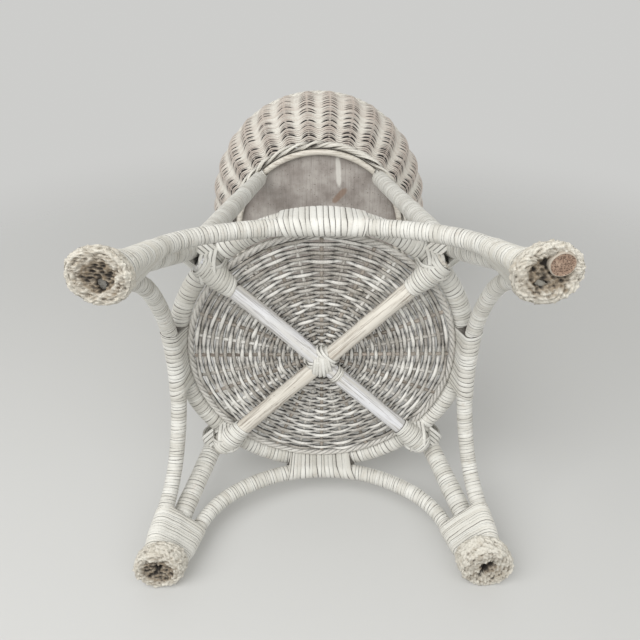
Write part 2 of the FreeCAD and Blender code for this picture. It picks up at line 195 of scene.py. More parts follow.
def leg_rail(angle, lowest):
    """From this height inside the foot to the rounded top under the hoop."""
    flat = rounded_line(LEG_LINE, LEG_BEND)
    heading = flat[-1] - flat[-2]
    heading /= np.linalg.norm(heading)
    tip = flat[-1] + heading * (LEG_TIP - flat[-1][1]) / heading[1]
    flat = np.vstack([flat, [flat[-1] + (tip - flat[-1]) * t for t in (0.25, 0.5, 0.75, 1.0)]])
    flat = flat[flat[:, 1] > lowest]
    points = np.stack([flat[:, 0], np.zeros(len(flat)), flat[:, 1]], 1)
    return spoke(points, angle)


def arch_flat():
    """Half of an arch in its own plane, from the foot to the middle of the crown."""
    top, turn, lean = ARCH_TOP, ARCH_CROWN_HALF, ARCH_LEAN
    joint = np.array([ARCH_CROWN * math.sin(turn), top - ARCH_CROWN * (1 - math.cos(turn))])
    side, drop = math.cos(lean) - math.sin(turn), math.cos(turn) - math.sin(lean)
    shoulder = (ARCH_SPAN - joint[0] - joint[1] * math.tan(lean)) / (side - drop * math.tan(lean))
    hub = joint - np.array([math.sin(turn), math.cos(turn)]) * shoulder
    waist = hub + np.array([math.cos(lean), math.sin(lean)]) * shoulder
    foot = np.array([ARCH_SPAN, 0.0])
    run = [foot + (waist - foot) * t for t in np.linspace(0.1, 1, 40)[:-1]]
    bend = [
        hub + np.array([math.cos(t), math.sin(t)]) * shoulder
        for t in np.linspace(lean, math.pi / 2 - turn, 40)[:-1]
    ]
    crown = [
        np.array([ARCH_CROWN * math.sin(t), top - ARCH_CROWN * (1 - math.cos(t))])
        for t in np.linspace(turn, 0, 40)
    ]
    return np.array(run + bend + crown)


def arch_in_space(flat):
    """Front arch points: the flat arch leant in from the feet to the ring."""
    return np.stack([flat[:, 0], flat[:, 1] * math.sin(ARCH_TILT) - ARCH_FOOT_OUT, flat[:, 1] * math.cos(ARCH_TILT)], 1)


def arch_rail(angle, lowest):
    """Foot to foot, starting this high above the floor along the arch."""
    half = arch_flat()
    half = half[half[:, 1] > lowest]
    mirrored = half[:-1] * [-1, 1]
    flat = np.vstack([half, mirrored[::-1]])
    normal = np.array([[0, math.cos(ARCH_TILT), -math.sin(ARCH_TILT)]])
    return Rail(turned(arch_in_space(flat), angle - 270), turned(normal, angle - 270)[0])


def foot_bundle(height):
    """The three bound poles in a foot at each level: sideways and inward offsets from the foot's axis, radius."""
    axis = foot_axis(height)
    slope = (LEG_LINE[0][0] - LEG_LINE[1][0]) / LEG_LINE[1][1]
    rise = height / math.cos(ARCH_TILT)
    along, away = ARCH_SPAN - rise * math.tan(ARCH_LEAN), ARCH_FOOT_OUT - rise * math.sin(ARCH_TILT)
    aside, out = (away - along) * math.sqrt(0.5), (away + along) * math.sqrt(0.5)
    leg = (0.0 * height, axis - (LEG_LINE[0][0] - slope * height), LEG_WRAPPED)
    return (leg, (aside, axis - out, ARCH_WRAPPED), (-aside, axis - out, ARCH_WRAPPED))


def foot_axis(height):
    """How far out the middle of a foot lies at each height."""
    return FOOT_CENTRE + (FOOT_TOP_CENTRE - FOOT_CENTRE) * np.asarray(height, float) / FOOT_HEIGHT


def taut_reach(turn, circles, thick):
    """Distance from the axis, in the direction of each turn, of a band drawn tight round circles (x, y, radius)."""
    ways = np.linspace(0, TAU, 97)[:-1]
    pulls = [np.outer(x, np.cos(ways)) + np.outer(y, np.sin(ways)) + r + thick for x, y, r in circles]
    pull = np.max(pulls, axis=0)
    facing = np.cos(np.asarray(turn)[:, None] - ways)
    return np.min(np.where(facing > 0.15, pull / np.maximum(facing, 0.15), 1e3), axis=1)


def wall_radius(height):
    """Middle of the basket's bulging wall."""
    return BULGE_OFFSET + np.sqrt(BULGE_RADIUS**2 - (np.asarray(height, float) - BULGE_HEIGHT) ** 2)


# ---------------------------------------------------------------- mesh making


# Rows of faces over one turn of reed, and how strongly they crowd towards the joints between turns.
ROWS_PER_TURN, CROWDING = 6, 0.085
# Points closer than this are welded, and edges shorter than this are taken out, in metres.
WELD, SLIVER = 1e-5, 1e-6


def bent_grid(bm, across, along, place, uv_size=(1.0, 1.0)):
    """Adds a grid and bends it with place(u, v), which gives points in mm, how proud they are and their tone."""
    proud = bm.verts.layers.float.get("proud") or bm.verts.layers.float.new("proud")
    tone = bm.verts.layers.float.get("tone") or bm.verts.layers.float.new("tone")
    uv = bm.loops.layers.uv.verify()
    made = bmesh.ops.create_grid(bm, x_segments=across, y_segments=along, size=0.5, calc_uvs=True)["verts"]
    flat = np.array([v.co[:2] for v in made]) + 0.5
    points, raised, shade = place(flat[:, 0], flat[:, 1])
    raised = np.broadcast_to(raised, len(made))
    shade = np.broadcast_to(shade, len(made))
    for vert, at, high, mark in zip(made, (points * MM).tolist(), raised.tolist(), shade.tolist()):
        vert.co = at
        vert[proud] = high
        vert[tone] = mark
    faces = {face for vert in made for face in vert.link_faces}
    for face in faces:
        for loop in face.loops:
            spot = loop[uv].uv
            loop[uv].uv = (spot.x * uv_size[0], spot.y * uv_size[1])


def put_in_scene(name, data):
    """A new object for the data, linked to the scene."""
    obj = bpy.data.objects.new(name, data)
    bpy.context.scene.collection.objects.link(obj)
    return obj


def mesh_object(name, bm, material):
    """Turns the mesh being built into an object with this material."""
    mesh = bpy.data.meshes.new(name)
    bm.to_mesh(mesh)
    bm.free()
    mesh.materials.append(material)
    return put_in_scene(name, mesh)


def finish_piece(name, bm, look, slot, *replaced):
    """Closes the mesh, turns its faces outwards and hands the piece to the frame."""
    bmesh.ops.remove_doubles(bm, verts=bm.verts, dist=WELD)
    bmesh.ops.dissolve_degenerate(bm, edges=bm.edges, dist=SLIVER)
    rims = [edge for edge in bm.edges if edge.is_boundary]
    if rims:
        bmesh.ops.holes_fill(bm, edges=rims, sides=0)
    bmesh.ops.recalc_face_normals(bm, faces=bm.faces)
    piece = mesh_object(name, bm, finish(look))
    piece.data.shade_smooth()
    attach(piece, "root")
    if replaced:
        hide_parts(*replaced)


def circle_section(radius):
    """Section of one round pole: radius may depend on the travel along it, and may run out to a point."""

    def section(travel, c, s, grow):
        r = np.maximum((radius(travel) if callable(radius) else radius) + grow, 0)
        return r * c, r * s, 0.0 * travel

    return section


def bind_reed(bm, rail, pitch, section, around, seed, crown=0.36, spread=0.4, tilt=0.0, open_share=0.27):
    """Winds flat reed round a rail: each turn is crowned, wanders a little and lies against the next."""
    rng = np.random.default_rng(seed)
    turns = max(2, round(rail.length / pitch))
    edges = np.concatenate([[0.0], np.cumsum(1 + spread * rng.uniform(-1, 1, turns + 1))])
    edges *= rail.length / edges[turns]
    count = np.arange(turns + 2)
    lift = rng.uniform(-0.3, 0.15, turns + 2) * crown
    shades = rng.uniform(0, 1, turns + 2)
    # Paint bridges most of the joints between turns; some have opened, wholly or over part of the turn. An open joint
    # is marked low, which paints shade into it with the groove colour.
    bridged = np.where(rng.uniform(0, 1, turns + 2) < open_share, 0.0, rng.uniform(0.0, 0.52, turns + 2))
    wander = rng.uniform(0.02, 0.2, turns + 2) * pitch

    def place(u, v):
        turn = v * turns
        whole = np.floor(turn + 1e-6)
        share = unit(turn - whole)
        # Rows crowd towards the joints, which keeps the grooves narrow.
        share = share - CROWDING * np.sin(TAU * share)
        wound = whole + share + u
        angle = u * TAU
        travel = np.interp(wound, count, edges) + np.interp(wound, count, wander) * np.sin(angle + 2.4 * wound)
        travel = np.clip(travel + tilt * np.sin(angle), 0, rail.length)
        bulge = np.sqrt(unit(1 - (2 * share - 1) ** 2))
        grow = crown * (bulge - 1) + np.interp(wound, count, lift)
        p, t, n, b = rail.at(rail.index(travel))
        x, y, ahead = section(travel, np.cos(angle), np.sin(angle), grow)
        points = p + n * x[:, None] + b * y[:, None] + t * ahead[:, None]
        shut = np.interp(wound, count, bridged)
        shut = shut + 0.22 * np.sin(angle + 1.7 * wound) + 0.12 * np.sin(3 * angle + 0.9 * wound)
        shut = unit(shut)
        return points, bulge * (1 - shut) + shut, np.interp(wound, count, shades)

    bent_grid(bm, around, turns * ROWS_PER_TURN, place, uv_size=(1.0, turns))


def unit(values):
    """Values kept between 0 and 1."""
    return np.clip(values, 0, 1)


def sampled(values):
    """Values at even steps, as a function of the share of the way."""
    steps = np.linspace(0, 1, len(values))
    return lambda share: np.interp(share, steps, values)


def rod(bm, rail, radius, around=8, flat=1.0, proud=0.6, tone=0.5, lengths=1.0):
    """A round or flattened strand along a rail; flat is its thickness over its width."""

    def place(u, v):
        p, _, n, b = rail.at(v * rail.count)
        angle = u * TAU
        r = radius(v) if callable(radius) else radius
        thin = flat(v, angle) if callable(flat) else flat
        x, y = r * thin * np.cos(angle), r * np.sin(angle)
        high = proud(v, angle) if callable(proud) else proud
        mark = tone(v) if callable(tone) else tone
        return p + n * np.asarray(x)[:, None] + b * np.asarray(y)[:, None], high, mark

    bent_grid(bm, around, rail.count, place, uv_size=(1.0, lengths))


def hugging_loop(centre, first, second, ovals, thick, count=40):
    """A closed strip drawn tight round ovals (offset, half sizes) that lie in the plane of first and second."""
    a = np.linspace(0, TAU, count + 1)
    c, s = np.cos(a), np.sin(a)
    reach, spots = [], []
    for (x, y), (wide, tall) in ovals:
        size = np.sqrt((wide * c) ** 2 + (tall * s) ** 2)
        reach.append(x * c + y * s + size)
        spots.append(np.stack([x + wide**2 * c / size, y + tall**2 * s / size], 1))
    best = np.argmax(reach, axis=0)
    flat = np.array(spots)[best, np.arange(len(a))] + thick * np.stack([c, s], 1)
    first, second = np.asarray(first, float), np.asarray(second, float)
    outward = c[:, None] * first + s[:, None] * second
    return np.asarray(centre, float) + flat[:, :1] * first + flat[:, 1:] * second, outward


def loop_points(centre, first, second, power=2.5, count=40):
    """A squarish oval through centre +- first and centre +- second, with its outward directions."""
    a = np.linspace(0, TAU, count + 1)
    c, s = np.cos(a), np.sin(a)
    x = np.sign(c) * np.abs(c) ** (2 / power)
    y = np.sign(s) * np.abs(s) ** (2 / power)
    centre, first, second = (np.asarray(v, float) for v in (centre, first, second))
    points = centre + x[:, None] * first + y[:, None] * second
    outward = c[:, None] * first / first.dot(first) ** 0.5 + s[:, None] * second / second.dot(second) ** 0.5
    return points, outward


# ---------------------------------------------------------------- finishes


def linear(text):
    """A linear colour from an sRGB hex value."""
    parts = [int(text[i : i + 2], 16) / 255 for i in (1, 3, 5)]
    return tuple(p / 12.92 if p <= 0.04045 else ((p + 0.055) / 1.055) ** 2.4 for p in parts)


def colour(tint):
    """A node colour from a hex value or from linear parts."""
    return (*(linear(tint) if isinstance(tint, str) else tint[:3]), 1.0)


def per(mm):
    """Scale of a pattern whose cells are this many millimetres across."""
    return 1 / (mm * MM)


def add(tree, kind, links=None, **settings):
    """Adds a node with its settings, and sets or links its inputs. A node given as an input means its first output."""
    node = tree.nodes.new("ShaderNode" + kind)
    for name, value in settings.items():
        setattr(node, name, value)
    for socket, value in (links or {}).items():
        if isinstance(value, bpy.types.Node):
            value = value.outputs[0]
        if isinstance(value, bpy.types.NodeSocket):
            tree.links.new(value, node.inputs[socket])
        else:
            node.inputs[socket].default_value = value
    return node


def new_material(name):
    """An empty material, its node tree and the place on the object."""
    material = bpy.data.materials.new(name)
    material.use_nodes = True
    tree = material.node_tree
    tree.nodes.clear()
    return material, tree, add(tree, "TexCoord").outputs["Object"]


WHOLE = (0.0, 1.0)


def spanned(pattern, span, share):
    """Inputs that turn a pattern's run over the span into a run over the share."""
    return {"Value": pattern, "From Min": span[0], "From Max": span[1], "To Min": share[0], "To Max": share[1]}


def lay_over(tree, surface, tint, pattern, span=WHOLE, share=WHOLE, times=None, **settings):
    """Lays a tint over the surface; its share changes as the pattern goes through the span."""
    mask = add(tree, "MapRange", spanned(pattern, span, share), **settings)
    if times:
        mask = add(tree, "Math", {0: mask, 1: times}, operation="MULTIPLY")
    return add(tree, "Mix", {0: mask, 6: surface, 7: colour(tint)}, data_type="RGBA").outputs[2]


def end_material(material, surface, rough, relief, **more):
    """Ends a material: rough is a pattern with its span and share, relief a pattern with its strength and depth."""
    tree = material.node_tree
    height, strength, depth = relief
    bump = add(tree, "Bump", {"Height": height, "Strength": strength, "Distance": depth})
    rough = add(tree, "MapRange", spanned(*rough))
    shader = add(tree, "BsdfPrincipled", {"Base Color": surface, "Roughness": rough, "Normal": bump, **more})
    add(tree, "OutputMaterial", {"Surface": shader})
    return material


PAINT_IOR = 1.47
SOIL = "#8E8570"


def painted_reed(name, coat, thin_coat, bare, dirt_and_shade, wear, groove, fibre=(3, 14, 1), grime=0.3, soiled_below=0.0):
    """Split reed under brushed-on white paint: pale crowns, painted shade with brown grime in the grooves, thin worn
    patches.
    """
    material, tree, spot = new_material(name)
    proud, tone = (add(tree, "Attribute", attribute_name=mark).outputs["Fac"] for mark in ("proud", "tone"))
    # Worn patches are 8 mm across, blotches of grime 60 mm, brush marks under 2 mm.
    patches = add(tree, "TexNoise", {"Vector": spot, "Scale": per(8.3333), "Detail": 6.0, "Roughness": 0.7})
    blotch = add(tree, "TexNoise", {"Vector": spot, "Scale": per(58.824), "Detail": 4.0})
    brush = add(tree, "TexNoise", {"Vector": spot, "Scale": per(1.6129), "Detail": 4.0, "Roughness": 0.7})
    along = add(tree, "Mapping", {"Vector": add(tree, "TexCoord").outputs["UV"], "Scale": fibre})
    fibres = add(tree, "TexNoise", {"Vector": along, "Scale": 1.0, "Detail": 4.0, "Roughness": 0.6})
    strand = add(tree, "Math", {0: tone, 1: fibres}, operation="ADD")
    strand = add(tree, "Math", {0: brush, 1: 1.1, 2: strand}, operation="MULTIPLY_ADD")
    surface = lay_over(tree, colour(thin_coat), coat, strand, (0.85, 2.0))
    surface = lay_over(tree, surface, bare, patches, (0.62 - 0.2 * wear, 0.74 - 0.1 * wear), (0.0, wear), times=proud)
    surface = lay_over(tree, surface, bare, brush, (0.6, 0.68), (0.0, 0.38))
    surface = lay_over(tree, surface, thin_coat, blotch, (0.45, 0.75), (0.0, grime))
    if soiled_below:
        height = add(tree, "SeparateXYZ", {"Vector": spot}).outputs["Z"]
        uneven = add(tree, "Math", {0: patches, 1: soiled_below, 2: height}, operation="MULTIPLY_ADD")
        soiled = (uneven, (soiled_below * 0.9, soiled_below * 1.7), (0.85, 0.0))
        surface = lay_over(tree, surface, SOIL, *soiled)
        near_floor = add(tree, "MapRange", spanned(*soiled))
        surface = lay_over(tree, surface, dirt_and_shade, brush, (0.5, 0.62), (0.0, 0.7), times=near_floor)
    # Low places take the groove colour, which is painted shade with brown grime in it; it ends in a ragged edge.
    ragged = add(tree, "Math", {0: brush, 1: 0.35, 2: proud}, operation="MULTIPLY_ADD")
    edges = (groove[0] + 0.17, groove[1] + 0.17)
    surface = lay_over(tree, surface, dirt_and_shade, ragged, edges, (1.0, 0.0), interpolation_type="SMOOTHSTEP")
    relief = add(tree, "Math", {0: fibres, 1: 0.6, 2: brush}, operation="MULTIPLY_ADD")
    return end_material(material, surface, (patches, WHOLE, (0.5, 0.82)), (relief, 0.6, 0.0009), IOR=PAINT_IOR)


def painted_cane(name, coat, thin_coat, bare, streak, wear, turn=0.0):
    """Whole cane, planed and painted thinly: fine grain lines along it, paint rubbed through in streaks."""
    material, tree, spot = new_material(name)
    # Grain lines and streaks of paint follow the cane: their length and width in metres.
    laid = []
    for size, detail in (((0.045, 0.0019, 0.0019), (5.0, 0.62)), ((0.09, 0.0065, 0.0065), (3.0, 0.5))):
        placed = {"Vector": spot, "Rotation": (0.0, 0.0, turn), "Scale": size}
        lay = add(tree, "Mapping", placed, vector_type="TEXTURE")
        laid.append(add(tree, "TexNoise", {"Vector": lay, "Scale": 1.0, "Detail": detail[0], "Roughness": detail[1]}))
    grain, broad = laid
    speck = add(tree, "TexNoise", {"Vector": spot, "Scale": per(2.0), "Detail": 3.0})
    surface = lay_over(tree, colour(thin_coat), coat, broad, (0.35, 0.65))
    surface = lay_over(tree, surface, bare, broad, (0.5, 0.7), (0.0, wear))
    surface = lay_over(tree, surface, streak, grain, (0.5, 0.68), (0.0, 0.8))
    surface = lay_over(tree, surface, streak, speck, (0.68, 0.74), (0.0, 0.6))
    return end_material(material, surface, (grain, WHOLE, (0.42, 0.7)), (grain, 0.4, 0.0005), IOR=PAINT_IOR)


def cut_cane(name, pale, mid, dark, bark):
    """Sawn end of a cane: bunched dark pores in brown and pinkish wood, with painted bark round the edge."""
    material, tree, spot = new_material(name)
    tone = add(tree, "Attribute", attribute_name="tone").outputs["Fac"]
    # Pores are about 1 mm apart, cloudy patches about 3 mm across.
    pores = add(tree, "TexVoronoi", {"Vector": spot, "Scale": per(1.17647)})
    cloud = add(tree, "TexNoise", {"Vector": spot, "Scale": per(3.0303), "Detail": 6.0, "Roughness": 0.7})
    surface = lay_over(tree, colour(mid), pale, cloud, (0.36, 0.64))
    surface = lay_over(tree, surface, dark, pores, (0.15, 0.6), (0.95, 0.0))
    surface = lay_over(tree, surface, bark, tone)
    return end_material(material, surface, (cloud, (0.36, 0.64), (0.7, 0.95)), (pores, 0.5, 0.0004))


def weathered_plywood(name, face, pale, line, bare, paint):
    """Rotary-cut plywood left grey: fine straight grain, dark specks, a run of paint and a bare rub."""
    material, tree, spot = new_material(name)
    # Grain lines lie along Y: 1.9 mm wide, 50 mm long and 5 mm deep, as coarse as they need to be to show.
    lay = add(tree, "Mapping", {"Vector": spot, "Scale": [per(mm) for mm in (1.923077, 50.0, 5.0)]})
    grain = add(tree, "TexNoise", {"Vector": lay, "Scale": 1.0, "Detail": 6.0, "Roughness": 0.65})
    cloud = add(tree, "TexNoise", {"Vector": spot, "Scale": per(29.412), "Detail": 8.0, "Roughness": 0.62})
    speck = add(tree, "TexNoise", {"Vector": spot, "Scale": per(2.38095), "Detail": 2.0})
    wave = add(tree, "TexNoise", {"Vector": spot, "Scale": per(8.3333)})
    surface = lay_over(tree, colour(face), pale, cloud, (0.36, 0.64))
    surface = lay_over(tree, surface, line, grain, (0.48, 0.8), (0.0, 0.5))
    surface = lay_over(tree, surface, line, speck, (0.65, 0.72), (0.0, 0.75))
    # The paint run and the bare rub: centre and half sizes in metres, slant, tint and strength.
    paint_run = ((0.0257, -0.083), (0.0038, 0.022), 0.05, paint, 0.75)
    bare_rub = ((0.028, -0.050), (0.0048, 0.014), -0.75, bare, 0.6)
    for centre, half, lean, tint, strength in (paint_run, bare_rub):
        moved = add(tree, "VectorMath", {0: spot, 1: (*centre, 0.0)}, operation="SUBTRACT")
        place = add(tree, "Mapping", {"Vector": moved, "Rotation": (0.0, 0.0, lean)})
        split = add(tree, "SeparateXYZ", {"Vector": place})
        edge = wave
        for axis, size, power in (("X", half[0], 2.0), ("Y", half[1], 4.0)):
            reach = add(tree, "Math", {0: split.outputs[axis], 1: size}, operation="DIVIDE")
            reach = add(tree, "Math", {0: reach, 1: power}, operation="POWER")
            edge = add(tree, "Math", {0: edge, 1: reach}, operation="ADD")
        surface = lay_over(tree, surface, tint, edge, (0.9, 1.6), (strength, 0.0))
    return end_material(material, surface, (grain, WHOLE, (0.65, 0.9)), (grain, 0.35, 0.0004))


def rusted_steel(name, steel, rust):
    """Drawn wire nails: dull grey steel with brown rust in spots."""
    material, tree, spot = new_material(name)
    spots = add(tree, "TexNoise", {"Vector": spot, "Scale": per(1.42857), "Detail": 4.0})
    edge = (0.45, 0.6)
    surface = lay_over(tree, colour(steel), rust, spots, edge)
    shine = add(tree, "MapRange", spanned(spots, edge, (1.0, 0.0)))
    return end_material(material, surface, (spots, edge, (0.4, 0.9)), (spots, 0.3, 0.0002), Metallic=shine)


def one_sided_plain(name, tint, reach):
    """Plain matt paper or cloth for the stage, seen from its front only and fading out at its edge."""
    material, tree, spot = new_material(name)
    distance = add(tree, "VectorMath", {0: spot}, operation="LENGTH").outputs["Value"]
    fading = spanned(distance, (reach * 0.35, reach), (1.0, 0.0))
    fade = add(tree, "MapRange", fading, interpolation_type="SMOOTHSTEP")
    back = add(tree, "NewGeometry").outputs["Backfacing"]
    front = add(tree, "Math", {0: 1.0, 1: back}, operation="SUBTRACT")
    shown = add(tree, "Math", {0: front, 1: fade}, operation="MULTIPLY")
    matt = add(tree, "BsdfDiffuse", {"Color": colour(tint)})
    mixed = add(tree, "MixShader", {0: shown, 1: add(tree, "BsdfTransparent"), 2: matt})
    add(tree, "OutputMaterial", {"Surface": mixed})
    return material


# ---------------------------------------------------------------- sizes and colours a user may change


def reed_width(name, where, default, low=1.5, high=8):
    """A width of reed, in millimetres."""
    what = f"Width of the reed {where}, in mm"
    return bpy.props.FloatProperty(name=name, description=what, default=default, min=low, max=high)


def swatch(name, what, default):
    """A colour given as an sRGB hex value."""
    return bpy.props.FloatVectorProperty(name=name, description=what, subtype="COLOR", default=linear(default))


class StandSizes(bpy.types.PropertyGroup):
    """Sizes of the reed and of the weave, in millimetres."""

    leg_pitch: reed_width("Leg reed", "round the legs", 3.2)
    arch_pitch: reed_width("Arch reed", "round the arches", 3.0)
    ring_pitch: reed_width("Ring reed", "round the shelf ring", 3.8)
    tie_pitch: reed_width("Tie reed", "in the broad ties", 4.6, 2, 9)
    foot_pitch: reed_width("Foot reed", "round the feet", 2.2, 1.5, 6)
    shelf_rows: bpy.props.IntProperty(name="Shelf rows", description="Rows of weaving", default=28, min=8, max=40)
    basket_rows: bpy.props.IntProperty(name="Basket rows", description="Rows up the wall", default=47, min=12, max=80)
    basket_flutes: bpy.props.IntProperty(name="Basket flutes", description="Bulges", default=30, min=12, max=48)
    flute_depth: bpy.props.FloatProperty(name="Flute depth", description="In mm", default=2.3, min=0.5, max=6)


class StandColours(bpy.types.PropertyGroup):
    """Colours of the paint, the bare reed, and the grime and painted shade in the grooves."""

    coat: swatch("White coat", "Thick white paint on the reed", "#DDDCD6")
    thin_coat: swatch("Thin coat", "Thin greyed paint", "#BFBCB3")
    bare: swatch("Bare reed", "Reed where the paint has rubbed off", "#A8927E")
    # The groove colour is painted shade between the strands, with brown grime in it.
    dirt_and_shade: swatch("Groove dirt", "Brown dirt between the strands", "#2E261F")
    cane_blue: swatch("Cool cane paint", "Bluish white on the cross cane that runs through", "#DFE0E4")
    cane_tan: swatch("Worn cane", "Tan cane where the paint is thin", "#C6BFB3")
    board: swatch("Board", "Weathered plywood", "#8B837D")
    backdrop: swatch("Backdrop", "Pale grey of the stage", "#D2D2D0")


def sizes():
    return bpy.context.scene.stand_sizes


def tints():
    return bpy.context.scene.stand_colours


FINISHES = {}


def finish(name):
    """The named finish, made once from the colours in use."""
    if not FINISHES:
        c = tints()
        coat, thin, bare, dirt_and_shade = (tuple(v) for v in (c.coat, c.thin_coat, c.bare, c.dirt_and_shade))
        cool, tan, board = (tuple(v) for v in (c.cane_blue, c.cane_tan, c.board))
        reed, cane = painted_reed, painted_cane
        worn_edge, full_edge = (0.05, 0.75), (0.05, 0.8)
        # The last colour of each tuple is its groove colour: painted shade with grime, near black for the shelf and the
        # basket, whose gaps and slits it paints as shadow.
        foot = ("#C9C5BA", "#9C8E78", "#2A231A")
        club = ("#CFCBC0", "#7A6A55", "#A3967F", "#1A130C")
        shelf = ("#E4E2DC", "#928C83", "#8E8376", "#0B0806")
        basket = ("#DDDAD1", "#B9ABA0", "#A8968A", "#0E0A07")
        FINISHES.update(
            wrapped=reed("painted_reed_wound", coat, thin, bare, dirt_and_shade, 0.3, full_edge, grime=0.15),
            foot=reed("painted_reed_foot_worn", coat, *foot, 0.3, worn_edge, soiled_below=0.006),
            club=reed("painted_reed_club_soiled_and_shaded", *club, 0.5, (-0.02, 0.52), grime=0.25),
            lashing=reed("painted_reed_lashing", coat, thin, bare, dirt_and_shade, 0.2, (0.05, 0.85), (9, 3, 1), 0.2),
            shelf=reed("painted_reed_shelf_grey", *shelf, 0.35, (0.0, 0.75), (4, 50, 1)),
            basket=reed("painted_reed_basket_worn", *basket, 0.4, (0.0, 0.65), (4, 60, 1)),
            stakes=reed("painted_reed_stakes", "#E4E1D8", "#C6C1B7", bare, dirt_and_shade, 0.25, full_edge, (4, 20, 1)),
            # The stakes inside the basket are bare brown reed, dark enough to paint shade into the slits between the
            # strands.
            bare_stakes=cane("bare_reed_stakes_with_painted_shade", "#85705C", "#6B5746", "#5C4939", "#3B2D22", 0.4),
            # The shelf's spokes get a grey-brown paint instead of white: painted shade where they lie between the rows.
            spokes=cane("painted_reed_spokes", "#A7A199", "#857D72", bare, "#3B2D22", 0.4),
            through_cane=cane("painted_cane_cool_white", cool, "#CBC8C1", tan, "#8A857F", 0.15, math.radians(45)),
            half_cane=cane("painted_cane_worn_grey", "#DCD9D0", tan, "#A99A88", "#74675A", 0.35, math.radians(-45)),
            hoop=cane("painted_cane_cream", "#DDD9CF", "#C8C2B6", bare, "#85786A", 0.2),
            core=cane("painted_cane_core", coat, thin, bare, "#6E6459", 0.3),
            cut_end=cut_cane("sawn_cane_end", "#A6907E", "#7F6655", "#3E2D20", "#ABA295"),
            board=weathered_plywood("weathered_plywood", board, "#B0AAA4", "#625A54", "#80634C", "#DAD7D0"),
            nails=rusted_steel("rusted_steel_wire", "#8B8C8E", "#6B4A33"),
        )
    return FINISHES[name]


def dress(node, look):
    """Gives a piece carried over from the frame its finish."""
    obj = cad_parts[node]
    if obj.material_slots:
        for place in obj.material_slots:
            place.material = finish(look)
    else:
        obj.data.materials.append(finish(look))


# ---------------------------------------------------------------- pieces


class STAND_OT_legs(bpy.types.Operator):
    """Winds reed round the four legs and over their tops, and paints the poles inside"""

    bl_idname = "stand.legs"
    bl_label = "Bound legs"

    def execute(self, context):
        for k, (corner, angle) in enumerate(CORNERS.items()):
            rail = leg_rail(angle, WRAP_START)

            def radius(travel, end=rail.length):
                over = np.clip(travel - (end - LEG_WRAPPED), 0, LEG_WRAPPED)
                swell = 0.18 * np.sin(travel / 31.0 + k) + 0.12 * np.sin(travel / 9.3 + 2 * k)
                return np.sqrt(np.maximum(LEG_WRAPPED**2 - over**2, 0)) * (1 + swell / LEG_WRAPPED) - 0.3

            bm = bmesh.new()
            bind_reed(bm, rail, sizes().leg_pitch, circle_section(radius), 16, 11 + k)
            covered = (f"leg_wrap_{corner}", f"leg_top_wrap_{corner}")
            finish_piece(f"leg_reed_{corner}", bm, "wrapped", "reed_wrap", *covered)
            bm = bmesh.new()
            rod(bm, leg_rail(angle, CORE_START), LEG_CORE, around=18, proud=1.0)
            finish_piece(f"leg_core_{corner}", bm, "core", "painted_cane", f"leg_pole_{corner}")
        return {"FINISHED"}


class STAND_OT_arches(bpy.types.Operator):
    """Winds reed round the four arches"""

    bl_idname = "stand.arches"
    bl_label = "Bound arches"

    def execute(self, context):
        for k, (side, angle) in enumerate(SIDES.items()):
            rail = arch_rail(angle, WRAP_START)
            bm = bmesh.new()
            section = circle_section(lambda travel: ARCH_WRAPPED - 0.1 + 0.2 * np.sin(travel / 23.0 + 2 * k))
            bind_reed(bm, rail, sizes().arch_pitch, section, 14, 31 + k)
            finish_piece(f"arch_reed_{side}", bm, "wrapped", "reed_wrap", f"arch_wrap_{side}")
            bm = bmesh.new()
            rod(bm, arch_rail(angle, CORE_START), ARCH_CORE, around=16, proud=1.0)
            finish_piece(f"arch_core_{side}", bm, "core", "painted_cane", f"arch_cane_{side}")
        return {"FINISHED"}


